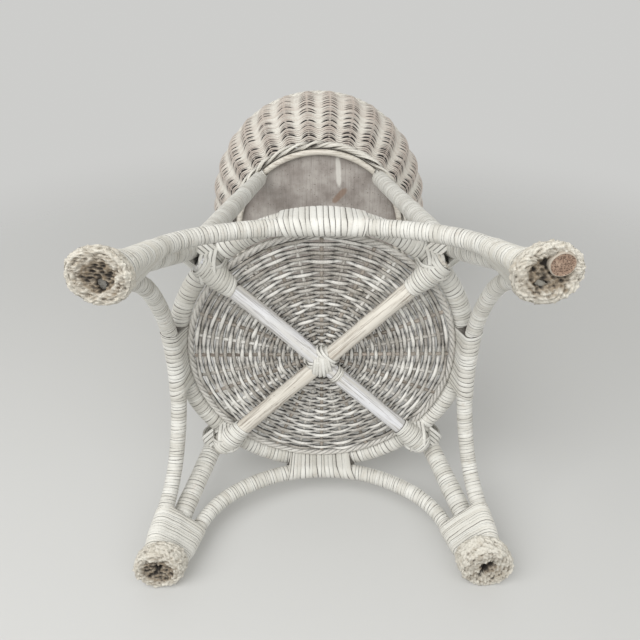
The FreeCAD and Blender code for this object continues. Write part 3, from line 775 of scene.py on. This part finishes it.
class STAND_OT_feet(bpy.types.Operator):
    """Binds each foot: taut level strips round the three poles, and a rough plaited club under them"""

    bl_idname = "stand.feet"
    bl_label = "Bound feet"

    def execute(self, context):
        for k, (corner, angle) in enumerate(CORNERS.items()):
            self.binding(corner, angle, k)
            self.club(corner, angle, k)
        self.pole_end("front_right", CORNERS["front_right"], FOOT_CENTRE + 9.6, -0.8, 9.3)
        return {"FINISHED"}

    def binding(self, corner, angle, k):
        """Strips drawn tight round the leg and the two arch ends, down into the club."""
        low, high = CLUBS[corner][0] - 6, FOOT_HEIGHT + 0.5
        rng = np.random.default_rng(90 + k)
        waves = rng.uniform(-1, 1, (4, 3))
        levels = np.linspace(low, high, 40)
        rail = spoke(np.stack([foot_axis(levels), 0 * levels, levels], 1), angle)
        # The binding's turns lie level, though the foot leans.
        rail.along[:] = UP
        rail.out = np.cross(rail.along, rail.side)

        def section(travel, c, s, grow):
            up = low + travel / rail.length * (high - low)
            turn = np.arctan2(s, c)
            uneven = sum(a * np.sin((i + 2) * turn + 3 * b + up / (11 + 4 * d)) for i, (a, b, d) in enumerate(waves))
            snug = taut_reach(turn, foot_bundle(up), 1.1)
            blend = unit((up - 8) / 20)
            blend = blend * blend * (3 - 2 * blend)
            edge = unit((up - (high - 2.5)) / 2.5)
            reach = (FOOT_RADIUS - 0.8) * (1 - blend) + snug * blend + grow
            reach = reach + 0.22 * uneven - 1.6 * edge**2
            return reach * c, reach * s, 0.0 * travel

        bm = bmesh.new()
        bind_reed(bm, rail, sizes().foot_pitch, section, 40, 50 + k, 0.35, 0.45, 1.6, open_share=0.16)
        finish_piece(f"foot_binding_{corner}", bm, "foot", "foot_reed", f"foot_wrap_{corner}")

    def club(self, corner, angle, k):
        """Strands plaited over and over into a lumpy knob, brown and hollow in the middle of its end."""
        rng = np.random.default_rng(300 + k)
        tall, spread, at, half, lean, brown = CLUBS[corner]
        # Radius and height of the knob's outline, from the binding down and in to the middle of the end.
        side = [(18.5, tall + 0.3), (21.6, tall), (23.2, 0.83 * tall), (23.4, 0.54 * tall), (22.9, 0.25 * tall)]
        end = [(21.2, 1.9), (18.5, 1.1), (14.5, 1.6), (10.5, 2.7), (5.0, 3.6), (0.0, 3.8)]
        outline = np.array(side + end)
        run = np.concatenate([[0], np.cumsum(np.linalg.norm(np.diff(outline, axis=0), axis=1))])
        end_from, hollow_from = run[len(side) - 1], run[len(side)]

        def on_outline(travel):
            return np.interp(travel, run, outline[:, 0]), np.interp(travel, run, outline[:, 1])

        bends = rng.uniform(-1, 1, (2, 5, 2))
        grit = rng.normal(size=(14, 3))
        grit /= np.linalg.norm(grit, axis=1)[:, None]
        grit *= TAU / np.geomspace(2.4, 9.0, 14)[:, None]
        shift = rng.uniform(0, TAU, 14)

        def place(u, v):
            travel = v * run[-1]
            r, z = on_outline(travel)
            ahead_r, ahead_z = on_outline(np.clip(travel + 0.3, 0, run[-1]))
            slope_r, slope_z = ahead_r - r, ahead_z - z
            steep = np.maximum(np.hypot(slope_r, slope_z), 1e-6)
            a = u * TAU
            x, y = r * np.cos(a), r * np.sin(a)
            # Two families of strands that wander round the knob; whichever lies on top is seen.
            lays = []
            for family, (bend, width) in enumerate(zip(bends, (4.6, 3.6))):
                sway = sum(1.3 * amp * np.sin((i + 1) * (family + 1) * a + 6 * ph) for i, (amp, ph) in enumerate(bend))
                strand = np.abs(np.sin(math.pi * (travel + sway * width) / width))
                lays.append(strand * (0.75 + 0.25 * np.sin(a * (5 + 2 * family) + 6 * bend[0, 0])))
            cover = 0.5 + 0.5 * np.sin(a * 9 + 4 * bends[0, 1, 0] + 2.2 * np.sin(travel / 4.5))
            first, second = lays
            lay = np.where(cover > 0.5, np.maximum(first, 0.5 * second), np.maximum(second, 0.5 * first))
            spots = np.stack([x, y, z], 1)
            rubble = sum((1 - 2 * np.abs(np.sin(spots @ g / 2 + f))) for g, f in zip(grit, shift)) / 14
            core = unit((brown - r) / 4) * (travel > end_from)
            height = 1.7 * lay * (1 - core) + (2.2 + 1.6 * core) * rubble
            px, py = x - at[0], y - at[1]
            along = px * math.cos(lean) + py * math.sin(lean)
            across = py * math.cos(lean) - px * math.sin(lean)
            hollow = np.exp(-((along / half[0]) ** 4) - (across / half[1]) ** 4) * (travel > hollow_from)
            settle = unit(travel / 4.0)
            out_r, out_z = -slope_z / steep, slope_r / steep
            push = (height - 1.1) * settle
            reach = r + out_r * push * (r > 0.5)
            level = np.maximum(z + out_z * push + 9.0 * hollow, 0.15)
            points = np.stack([foot_axis(level) + reach * spread * np.cos(a), reach * spread * np.sin(a), level], 1)
            under = unit((21.0 - r) / 4) * (travel > end_from)
            # Dips between the strands and the hollow are marked low, which paints shade there with the groove colour;
            # grime lies there too.
            raised = 0.44 - 0.1 * under + 0.75 * lay * (1 - core) + (0.6 + 0.5 * core) * rubble
            raised = unit(raised + 0.2 * core - 1.4 * hollow)
            # The tone is lighter on the bumps and darker in the dips, which is painted shade, and browner over the core
            # and the end face, the sawn poles' own colour.
            shade = unit(1.25 - 1.15 * core - 0.4 * under + 1.2 * rubble)
            return turned(points, angle), raised, shade

        bm = bmesh.new()
        bent_grid(bm, 180, 84, place)
        finish_piece(f"foot_club_{corner}", bm, "club", "foot_reed")

    def pole_end(self, corner, angle, out, aside, radius):
        """The sawn end of the leg's pole where the binding leaves it open, with a rim of painted bark."""
        inward = np.array([0.6, 0.0, 0.0, 0.4, 0.8, 1.1, radius])
        outline = np.stack([radius - inward, [12.0, 6.0, 1.6, 0.8, 0.5, 0.7, 0.9]], 1)
        bark = np.array([1.0, 1.0, 1.0, 1.0, 0.8, 0.0, 0.0])

        def place(u, v):
            step, a = v * (len(outline) - 1), u * TAU
            marks = np.arange(len(outline))
            r = np.interp(step, marks, outline[:, 0]) * (1 + 0.02 * np.sin(2 * a + 1) + 0.012 * np.sin(5 * a))
            points = np.stack([out + r * np.cos(a), aside + r * np.sin(a), np.interp(step, marks, outline[:, 1])], 1)
            return turned(points, angle), 1.0, np.interp(step, marks, bark)

        bm = bmesh.new()
        bent_grid(bm, 48, 24, place)
        finish_piece(f"pole_end_{corner}", bm, "cut_end", "worn_cane")


class STAND_OT_ring(bpy.types.Operator):
    """Winds reed round the shelf ring and ties it to the crown of each arch"""

    bl_idname = "stand.ring"
    bl_label = "Ring and arch ties"

    def execute(self, context):
        rail = level_ring(RING_RADIUS, RING_HEIGHT, 360)
        bm = bmesh.new()
        section = circle_section(lambda travel: RING_WRAPPED - 0.15 + 0.15 * np.sin(travel / 17.0))
        bind_reed(bm, rail, sizes().ring_pitch, section, 16, 71)
        finish_piece("ring_reed", bm, "wrapped", "reed_wrap", "shelf_ring_wrap")
        dress("shelf_ring", "core")
        for k, (side, angle) in enumerate(SIDES.items()):
            half = TIE_HALF / RING_RADIUS
            turn = np.linspace(-half, half, 41)
            rail = Rail(circle(RING_RADIUS, RING_HEIGHT, 40, math.radians(angle) - half, 2 * half), UP)
            drop, gap = self.arch_below(turn)
            travel_marks = np.linspace(0, rail.length, 41)

            def section(travel, c, s, grow, drop=drop, gap=gap, marks=travel_marks):
                down, out = np.interp(travel, marks, drop), np.interp(travel, marks, gap)
                ring = RING_WRAPPED
                arch = ARCH_WRAPPED + down * c + out * s
                on_ring = ring > arch
                thick = TIE_THICK + grow
                x = np.where(on_ring, (ring + thick) * c, down + (ARCH_WRAPPED + thick) * c)
                y = np.where(on_ring, (ring + thick) * s, out + (ARCH_WRAPPED + thick) * s)
                return x, y, 0.0 * travel

            bm = bmesh.new()
            bind_reed(bm, rail, sizes().tie_pitch, section, 32, 80 + k, 0.55, 0.3)
            finish_piece(f"arch_tie_reed_{side}", bm, "wrapped", "reed_wrap", f"arch_tie_{side}")
        return {"FINISHED"}

    def arch_below(self, turn):
        """How far the arch lies below and outside the ring, for each turn from the crown."""
        flat_x = RING_RADIUS * np.tan(turn)
        for _ in range(4):
            height = ARCH_TOP - ARCH_CROWN + np.sqrt(ARCH_CROWN**2 - flat_x**2)
            spot = arch_in_space(np.stack([flat_x, height], 1))
            flat_x = -spot[:, 1] * np.tan(turn)
        return spot[:, 2] - RING_HEIGHT, np.hypot(spot[:, 0], spot[:, 1]) - RING_RADIUS


class STAND_OT_canes(bpy.types.Operator):
    """Lays the crossed canes under the shelf, lashes their ends and their crossing"""

    bl_idname = "stand.canes"
    bl_label = "Crossed canes and lashings"

    def execute(self, context):
        rng = np.random.default_rng(7)
        lengths = {
            "cross_cane_through": (45 + 180, -CANE_REACH, CANE_REACH, "through_cane"),
            "cross_cane_half_front_right": (315, CANE_RADIUS + CANE_GAP, CANE_REACH, "half_cane"),
            "cross_cane_half_back_left": (135, CANE_RADIUS + CANE_GAP, CANE_REACH, "half_cane"),
        }
        for node, (angle, start, end, paint) in lengths.items():
            reach = np.linspace(start, end, 90)
            line = [[d, 0.25 * math.sin(d / 37), CANE_HEIGHT + 0.2 * math.sin(d / 29)] for d in reach]
            rail = spoke(line, angle)
            nodes = rng.uniform(0.2, 0.8, 2)

            def radius(v, nodes=nodes):
                swell = sum(0.5 * np.exp(-(((v - n) / 0.012) ** 2)) for n in nodes)
                return CANE_RADIUS - 0.35 + swell + 0.12 * np.sin(v * 21)

            bm = bmesh.new()
            rod(bm, rail, radius, around=28, proud=1.0, tone=0.7)
            slot = "worn_cane" if "half" in node else "painted_cane"
            finish_piece(f"{node}_painted", bm, paint, slot, node)
        for k, (corner, angle) in enumerate(CORNERS.items()):
            self.corner(corner, angle, np.random.default_rng(200 + k), k)
        self.crossing()
        return {"FINISHED"}

    def corner(self, corner, angle, rng, k):
        """Eight turns round the cane's end, then strips crossed over the ring and the leg."""
        bm = bmesh.new()
        rail = spoke([[d, 0, CANE_HEIGHT] for d in np.linspace(111.5, 150, 30)], angle)

        def radius(travel):
            """The winding thickens towards the ring, over the ends of the crossed strips."""
            swell, fall = unit(travel / 17 - 0.15), unit((travel - 33) / 5)
            return CANE_RADIUS + 0.9 + 2.9 * swell - 1.5 * fall**2

        bind_reed(bm, rail, END_PITCH, circle_section(radius), 20, 120 + k, 0.45, tilt=2.6)
        half = math.sqrt(0.5)
        ring = np.array([RING_RADIUS, 0, RING_HEIGHT])
        leg_gap = LEG_LINE[1][0] - RING_RADIUS
        for lean in (-1, 1):
            over = 1 if lean > 0 else 0
            # Strips round the ring and the cane below it, crossing on the diagonal.
            diagonal, aside = np.array([half, lean * half, 0]), np.array([half, -lean * half, 0])
            below = ((0, CANE_HEIGHT - RING_HEIGHT), (CANE_RADIUS / half, CANE_RADIUS))
            ovals = (((0, 0), (RING_WRAPPED / half, RING_WRAPPED)), below)
            for strip in range(4):
                centre = ring + aside * (strip - 1.5) * STRIP_STEP
                thick = 0.9 + 0.5 * over + rng.uniform(0, 0.25)
                self.strip(bm, *hugging_loop(centre, diagonal, UP, ovals, thick), angle, rng)
            # Strips round the ring and the leg that passes outside it.
            diagonal, aside = np.array([0, lean * half, half]), np.array([0, -lean * half, half])
            beside = ((leg_gap, 0), (LEG_WRAPPED, LEG_WRAPPED / half))
            ovals = (((0, 0), (RING_WRAPPED, RING_WRAPPED / half)), beside)
            for strip in range(4):
                centre = ring + aside * (strip - 1.5) * 4.0
                thick = 0.7 + 0.4 * over + rng.uniform(0, 0.25)
                self.strip(bm, *hugging_loop(centre, [1, 0, 0], diagonal, ovals, thick), angle, rng)
        finish_piece(f"corner_lashing_reed_{corner}", bm, "lashing", "reed_wrap", f"corner_lashing_{corner}")

    def strip(self, bm, points, outward, angle, rng):
        """One flat strip of a lashing, drawn tight."""
        rail = Rail(turned(points, angle), turned(outward, angle), closed=True)
        tone = rng.uniform(0.3, 1.0)
        # The strip's edges are marked low, which paints shade where strips lie side by side.
        rod(bm, rail, CORNER_STRIP, flat=0.34, tone=tone, proud=lambda v, a: 0.3 + 0.65 * np.abs(np.cos(a)), lengths=6)

    def crossing(self):
        """Flat strands over the crossing, a second bundle to the left and a band round the back right cane."""
        rng = np.random.default_rng(5)
        bm = bmesh.new()
        bundles = (
            # across x, across y, start x, start y, step, strands, half length
            (0.05, 1.0, -7.0, 0.5, 2.8, 6, 14.5),
            (1.0, -0.35, -3.5, -4.5, 2.9, 4, 13.0),
            (1.0, 1.0, 2.5, -4.5, 3.0, 3, 13.0),
        )
        for layer, (dx, dy, x, y, step, strands, half) in enumerate(bundles):
            for strand in range(strands):
                # The strands of a bundle fan out a little and are shorter at its edges.
                fan = 0.07 * (strand - (strands - 1) / 2) + rng.uniform(-0.04, 0.04)
                heading = np.array([dx + fan * dy, dy - fan * dx, 0])
                heading /= np.linalg.norm(heading)
                across = np.array([heading[1], -heading[0], 0])
                short = 1 - 0.16 * abs(2 * strand / (strands - 1) - 1)
                side = -1 if layer == 1 else 1
                centre = np.array([x, y, CANE_HEIGHT + 0.8]) + across * step * strand * side
                drop = CANE_RADIUS + 1.5 - 0.5 * layer - 1.6 * (1 - short) + rng.uniform(0, 0.4)
                reach = heading * (half * short + rng.uniform(-0.7, 0.7))
                rail = Rail(*loop_points(centre, reach, [0, 0, drop]), closed=True)
                tone = rng.uniform(0.4, 1.0)

                # The strand's edges are marked low, which paints shade where strands lie side by side.
                def proud(v, turn):
                    return 0.35 + 0.6 * np.abs(np.cos(turn))

                rod(bm, rail, CENTRE_STRIP, flat=0.35, tone=tone, proud=proud, lengths=5)
        # Band of three turns round the cane that leads to the back right foot.
        rail = spoke([[d, 0, CANE_HEIGHT] for d in np.linspace(13.5, 22.5, 10)], 45)
        bind_reed(bm, rail, 3.0, circle_section(CANE_RADIUS + 0.7), 18, 140, 0.6)
        finish_piece("centre_lashing_reed", bm, "lashing", "reed_wrap", "centre_lashing")


class STAND_OT_shelf(bpy.types.Operator):
    """Weaves the round shelf over its spokes and twists its border"""

    bl_idname = "stand.shelf"
    bl_label = "Woven shelf"

    def execute(self, context):
        rng = np.random.default_rng(3)
        bm = bmesh.new()
        rows = sizes().shelf_rows
        radii = np.linspace(SHELF_HUB, SHELF_RADIUS - SHELF_MARGIN, rows)
        for row, radius in enumerate(radii):
            spokes = HUB_SPOKES if radius < SPOKES_DOUBLE else EDGE_SPOKES
            count = spokes * 4
            a = np.linspace(0, TAU, count + 1)
            phase = math.pi * (row % 2)
            # How far each strand is pushed aside at each spoke, and how white it is there.
            force, white = rng.uniform(0.55, 1.3, spokes + 1), rng.uniform(-0.3, 1.3, spokes + 1)
            force[-1], white[-1] = force[0], white[0]
            heave = SHELF_HEAVE * sampled(force)(a / TAU) * np.cos(a * spokes / 2 + phase)
            slack = 0.5 * np.sin(a * rng.integers(2, 5) + rng.uniform(0, TAU))
            slack = slack + 0.35 * np.sin(a * rng.integers(7, 12) + rng.uniform(0, TAU))
            rail = level_ring(radius + slack, SHELF_HEIGHT - heave, count)
            thick = SHELF_STRAND + rng.uniform(-0.15, 0.15)

            lifted, painted = sampled(np.abs(heave)), sampled(white)

            # Strands are marked low on the sides where the rows meet and where they dip between spokes, which paints
            # shade into the gaps with the near-black groove colour.
            def proud(v, angle, lifted=lifted):
                return unit(0.2 * lifted(v) - 0.36 + 0.9 * np.abs(np.cos(angle)))

            def tone(v, painted=painted):
                return unit(painted(v))

            rod(bm, rail, thick, tone=tone, proud=proud, lengths=radius / 10)
        finish_piece("shelf_weave_reed", bm, "shelf", "shelf_reed", "shelf_weave")
        # Grey-brown spokes: painted shade between the rows.
        dress("shelf_spokes", "spokes")

        bm = bmesh.new()
        for k in range(EDGE_SPOKES - HUB_SPOKES):
            line = [[d, 0, SHELF_HEIGHT] for d in (SPOKES_DOUBLE - 1, 70, 96, SHELF_RADIUS - 0.5)]
            turn = 360 / HUB_SPOKES * (k + 0.5)
            rail = Rail(turned(line, turn), UP)
            rod(bm, rail, 1.7, around=6, proud=0.8, tone=rng.uniform(0, 1))
        finish_piece("shelf_added_spokes", bm, "shelf", "shelf_reed")
        bm = bmesh.new()
        twisted_border(bm, SHELF_BORDER_RADIUS + 1.0, SHELF_HEIGHT, 1.9, 1.7, 4, 26, 200)
        finish_piece("shelf_border_reed", bm, "shelf", "shelf_reed", "shelf_border")
        return {"FINISHED"}


def twisted_border(bm, radius, height, offset, strand, strands, turns, seed, uneven=0.0):
    """Strands twisted round each other into a rope that closes on itself."""
    rng = np.random.default_rng(seed)
    count = turns * 12
    a = np.linspace(0, TAU, count + 1)
    for k in range(strands):
        twist = a * turns + TAU * k / strands + uneven * np.sin(a * rng.integers(3, 9) + rng.uniform(0, TAU))
        reach = offset * (1 + 0.25 * uneven * np.sin(a * rng.integers(5, 15) + rng.uniform(0, TAU)))
        rail = level_ring(radius + reach * np.cos(twist), height + reach * np.sin(twist), count)
        # Each strand is marked proud where it lies outermost and low where it turns in, which paints shade with grime
        # into the rope's hollows.
        facing = sampled(0.55 + 0.35 * np.cos(twist + 0.8))

        def proud(v, angle, facing=facing):
            return unit(facing(v) - 0.35 + 0.55 * np.abs(np.sin(angle + 0.6)))

        rod(bm, rail, strand, tone=rng.uniform(0.4, 1), proud=proud, lengths=turns)


class STAND_OT_basket(bpy.types.Operator):
    """Weaves the basket wall over its stakes, plaits its borders and dresses its hoops and board"""

    bl_idname = "stand.basket"
    bl_label = "Woven basket"

    def execute(self, context):
        size = sizes()
        flutes, rows, depth = size.basket_flutes, size.basket_rows, size.flute_depth
        rng = np.random.default_rng(17)
        heights = np.linspace(WALL_LOW + 1.2, WALL_HIGH - 0.5, rows)
        pitch = heights[1] - heights[0]
        partings = rng.choice([0.0, 0.4, 1.0], (rows + 1, flutes), p=[0.42, 0.14, 0.44])
        # A wide parting is seldom followed by another in the next row.
        partings[1:] *= np.where(partings[:-1] > 0.5, 0.25, 1.0)
        for part, (first, last) in enumerate(((0, rows // 2), (rows // 2, rows))):
            bm = bmesh.new()
            for row in range(first, last):
                count = flutes * 12
                a = np.linspace(0, TAU, count + 1)
                wave = np.cos(a * flutes)
                # Between a bulge's ridge and the valley beside it the strands part, more at some bulges.
                phase = np.abs((a * flutes / TAU + 0.5) % 1 - 0.5)
                window = unit((phase - 0.04) / 0.05) * unit((0.36 - phase) / 0.06)
                flute = np.round(a * flutes / TAU).astype(int) % flutes
                shade = rng.uniform(0, 0.5)
                above, below = window * partings[row + 1][flute], window * partings[row][flute]
                slack = 0.25 * np.sin(a * rng.integers(2, 6) + rng.uniform(0, TAU))
                slack = slack + 0.15 * np.sin(a * rng.integers(9, 20))
                height = heights[row] + slack + 0.5 * (below - above)
                radius = wall_radius(heights[row]) + depth * wave * rng.uniform(0.92, 1.08)
                rail = level_ring(radius, height, count)

                line = [sampled(values) for values in (above, below, wave)]

                # Strands are marked low towards the rows above and below, more where they part, and on the side turned
                # into the basket: this paints shade into the joints, the slits and the inside.
                def proud(v, angle, line=line):
                    gap_above, gap_below, ridge = (values(v) for values in line)
                    up, joint = np.cos(angle), 0.58 + 0.1 * ridge
                    over = unit(up) * joint + unit(1.4 * up) * 0.6 * gap_above
                    under = unit(-up) * joint + unit(-1.4 * up) * 0.6 * gap_below
                    return unit(0.98 - over - under - 0.5 * unit(-np.sin(angle)))

                def thin(v, angle, line=line):
                    return 1.0 - 0.44 * np.where(np.cos(angle) > 0, line[0](v), line[1](v))

                def tone(v, line=line, shade=shade):
                    return unit(shade + 0.2 - 0.34 * line[2](v))

                rod(bm, rail, pitch * 0.52, flat=thin, proud=proud, tone=tone, lengths=12)
            name, covered = (("lower", ["basket_weave"]), ("upper", []))[part]
            finish_piece(f"basket_weave_{name}_rows", bm, "basket", "basket_reed", *covered)

        # Bare brown stakes: painted shade behind the slits.
        dress("basket_stakes", "bare_stakes")

        bm = bmesh.new()
        twisted_border(bm, FOOT_BORDER_RADIUS - 0.8, FOOT_BORDER_HEIGHT - 0.3, 3.0, 1.6, 5, 13, 400, uneven=0.8)
        # A hidden weaver between the plait and the hoop, marked low so that it takes the groove colour: painted shade
        # in the gap.
        rail = level_ring(HOOP_RADIUS + 5.0, FOOT_BORDER_HEIGHT + 1.5, 240)
        rod(bm, rail, 2.4, proud=0.3, tone=0.2)
        finish_piece("basket_foot_plait", bm, "stakes", "basket_reed", "basket_foot_border")
        bm = bmesh.new()
        twisted_border(bm, RIM_RADIUS - 2.0, RIM_HEIGHT + 0.2, 2.4, 2.6, 4, 24, 402)
        finish_piece("basket_rim_roll", bm, "stakes", "basket_reed", "basket_rim_border")

        for k, (corner, angle) in enumerate(CORNERS.items()):
            half = math.radians(5.2)
            rail = Rail(circle(HOOP_RADIUS, HOOP_HEIGHT, 16, math.radians(angle) - half, 2 * half), UP)

            def section(travel, c, s, grow):
                # The hoop and the leg's tip, of this radius and this far below the hoop, are bound together.
                tip, drop, hoop = 5.0, 6.0, HOOP_TUBE
                on_hoop = hoop > tip - drop * c
                thick = 0.9 + grow
                x = np.where(on_hoop, (hoop + thick) * c, -drop + (tip + thick) * c)
                y = np.where(on_hoop, (hoop + thick) * s, (tip + thick) * s)
                return x, y, 0.0 * travel

            bm = bmesh.new()
            bind_reed(bm, rail, 3.4, section, 20, 160 + k, 0.6)
            finish_piece(f"hoop_lashing_reed_{corner}", bm, "lashing", "reed_wrap", f"hoop_lashing_{corner}")
        looks = {"basket_hoop": "hoop", "basket_rim_hoop": "hoop", "base_board": "board", "board_nails": "nails"}
        for node, look in looks.items():
            dress(node, look)
        return {"FINISHED"}


# The camera stands low in front of the feet and looks up: its place in metres and its turn in degrees.
CAMERA_AT, CAMERA_TURN, CAMERA_LENS = (-0.005545, -0.347717, -0.377533), (148.894713, 0.492069, 0.080295), 35.44
# Soft round lights: place, what they face, width in metres and watts.
LIGHTS = (
    ("soft_key", (-0.8, -1.15, -0.75), (0, 0, 0.2), 1.5, 19),
    ("under_fill", (0.15, -0.75, -0.8), (0, 0, 0.2), 1.6, 7),
    ("top_fill", (0.5, 0.6, 1.5), (0, 0, 0.3), 1.4, 12),
)


class STAND_OT_stage(bpy.types.Operator):
    """Sets the plain pale stage, the soft lights and the camera"""

    bl_idname = "stand.stage"
    bl_label = "Stage, lights and camera"

    def execute(self, context):
        scene = context.scene
        scene.view_settings.view_transform = "Standard"
        world = bpy.data.worlds.new("pale_room")
        scene.world = world
        world.use_nodes = True
        room = world.node_tree.nodes["Background"].inputs
        room["Color"].default_value = colour(tuple(tints().backdrop))
        room["Strength"].default_value = 0.95
        self.plain("studio_floor", (0, 0, 0), (0, 0, 0), 1.1)
        # The cloth behind the stand touches the back feet and the widest part of the basket.
        self.plain("studio_cloth", (0, 0.171, 0.25), (math.radians(90 + 1.4), 0, 0), 1.2)
        for lamp in LIGHTS:
            self.light(*lamp)
        camera = bpy.data.cameras.new("camera")
        camera.lens, camera.sensor_width = CAMERA_LENS, 36.0
        camera.clip_start, camera.clip_end = 0.01, 50.0
        holder = put_in_scene("camera", camera)
        holder.location = CAMERA_AT
        holder.rotation_euler = Euler([math.radians(v) for v in CAMERA_TURN])
        scene.camera = holder
        return {"FINISHED"}

    def plain(self, name, at, turn, reach):
        """A round sheet that is seen from its front, takes shadows and throws none."""
        bm = bmesh.new()
        bmesh.ops.create_circle(bm, cap_ends=True, segments=96, radius=reach)
        # Matt grey that the lights bring up to the same tone as the room behind it.
        grey = tuple(0.85 * v for v in tints().backdrop)
        sheet = mesh_object(name, bm, one_sided_plain(f"{name}_matt", grey, reach))
        sheet.location, sheet.rotation_euler = at, turn
        sheet.visible_shadow = sheet.visible_diffuse = sheet.visible_glossy = False

    def light(self, name, at, aim, size, power):
        lamp = bpy.data.lights.new(name, "AREA")
        lamp.shape, lamp.size, lamp.energy = "DISK", size, power
        holder = put_in_scene(name, lamp)
        holder.location = at
        holder.rotation_euler = (Vector(aim) - Vector(at)).to_track_quat("-Z", "Y").to_euler()


PIECES = (
    STAND_OT_legs,
    STAND_OT_arches,
    STAND_OT_feet,
    STAND_OT_ring,
    STAND_OT_canes,
    STAND_OT_shelf,
    STAND_OT_basket,
    STAND_OT_stage,
)


class STAND_PT_build(bpy.types.Panel):
    """Sizes, colours and building steps of the stand"""

    bl_idname = "STAND_PT_build"
    bl_label = "Wicker stand"
    bl_space_type = "VIEW_3D"
    bl_region_type = "UI"
    bl_category = "Stand"

    def draw(self, context):
        for group in (context.scene.stand_sizes, context.scene.stand_colours):
            for name in group.__annotations__:
                self.layout.prop(group, name)
        for piece in PIECES:
            self.layout.operator(piece.bl_idname)


CLASSES = (StandSizes, StandColours, *PIECES, STAND_PT_build)


def register():
    for kind in CLASSES:
        bpy.utils.register_class(kind)
    bpy.types.Scene.stand_sizes = bpy.props.PointerProperty(type=StandSizes)
    bpy.types.Scene.stand_colours = bpy.props.PointerProperty(type=StandColours)


def unregister():
    del bpy.types.Scene.stand_colours
    del bpy.types.Scene.stand_sizes
    for kind in reversed(CLASSES):
        bpy.utils.unregister_class(kind)


def main():
    register()
    bpy.ops.stand.legs()
    bpy.ops.stand.arches()
    bpy.ops.stand.feet()
    bpy.ops.stand.ring()
    bpy.ops.stand.canes()
    bpy.ops.stand.shelf()
    bpy.ops.stand.basket()
    bpy.ops.stand.stage()


if __name__ == "__main__":
    main()
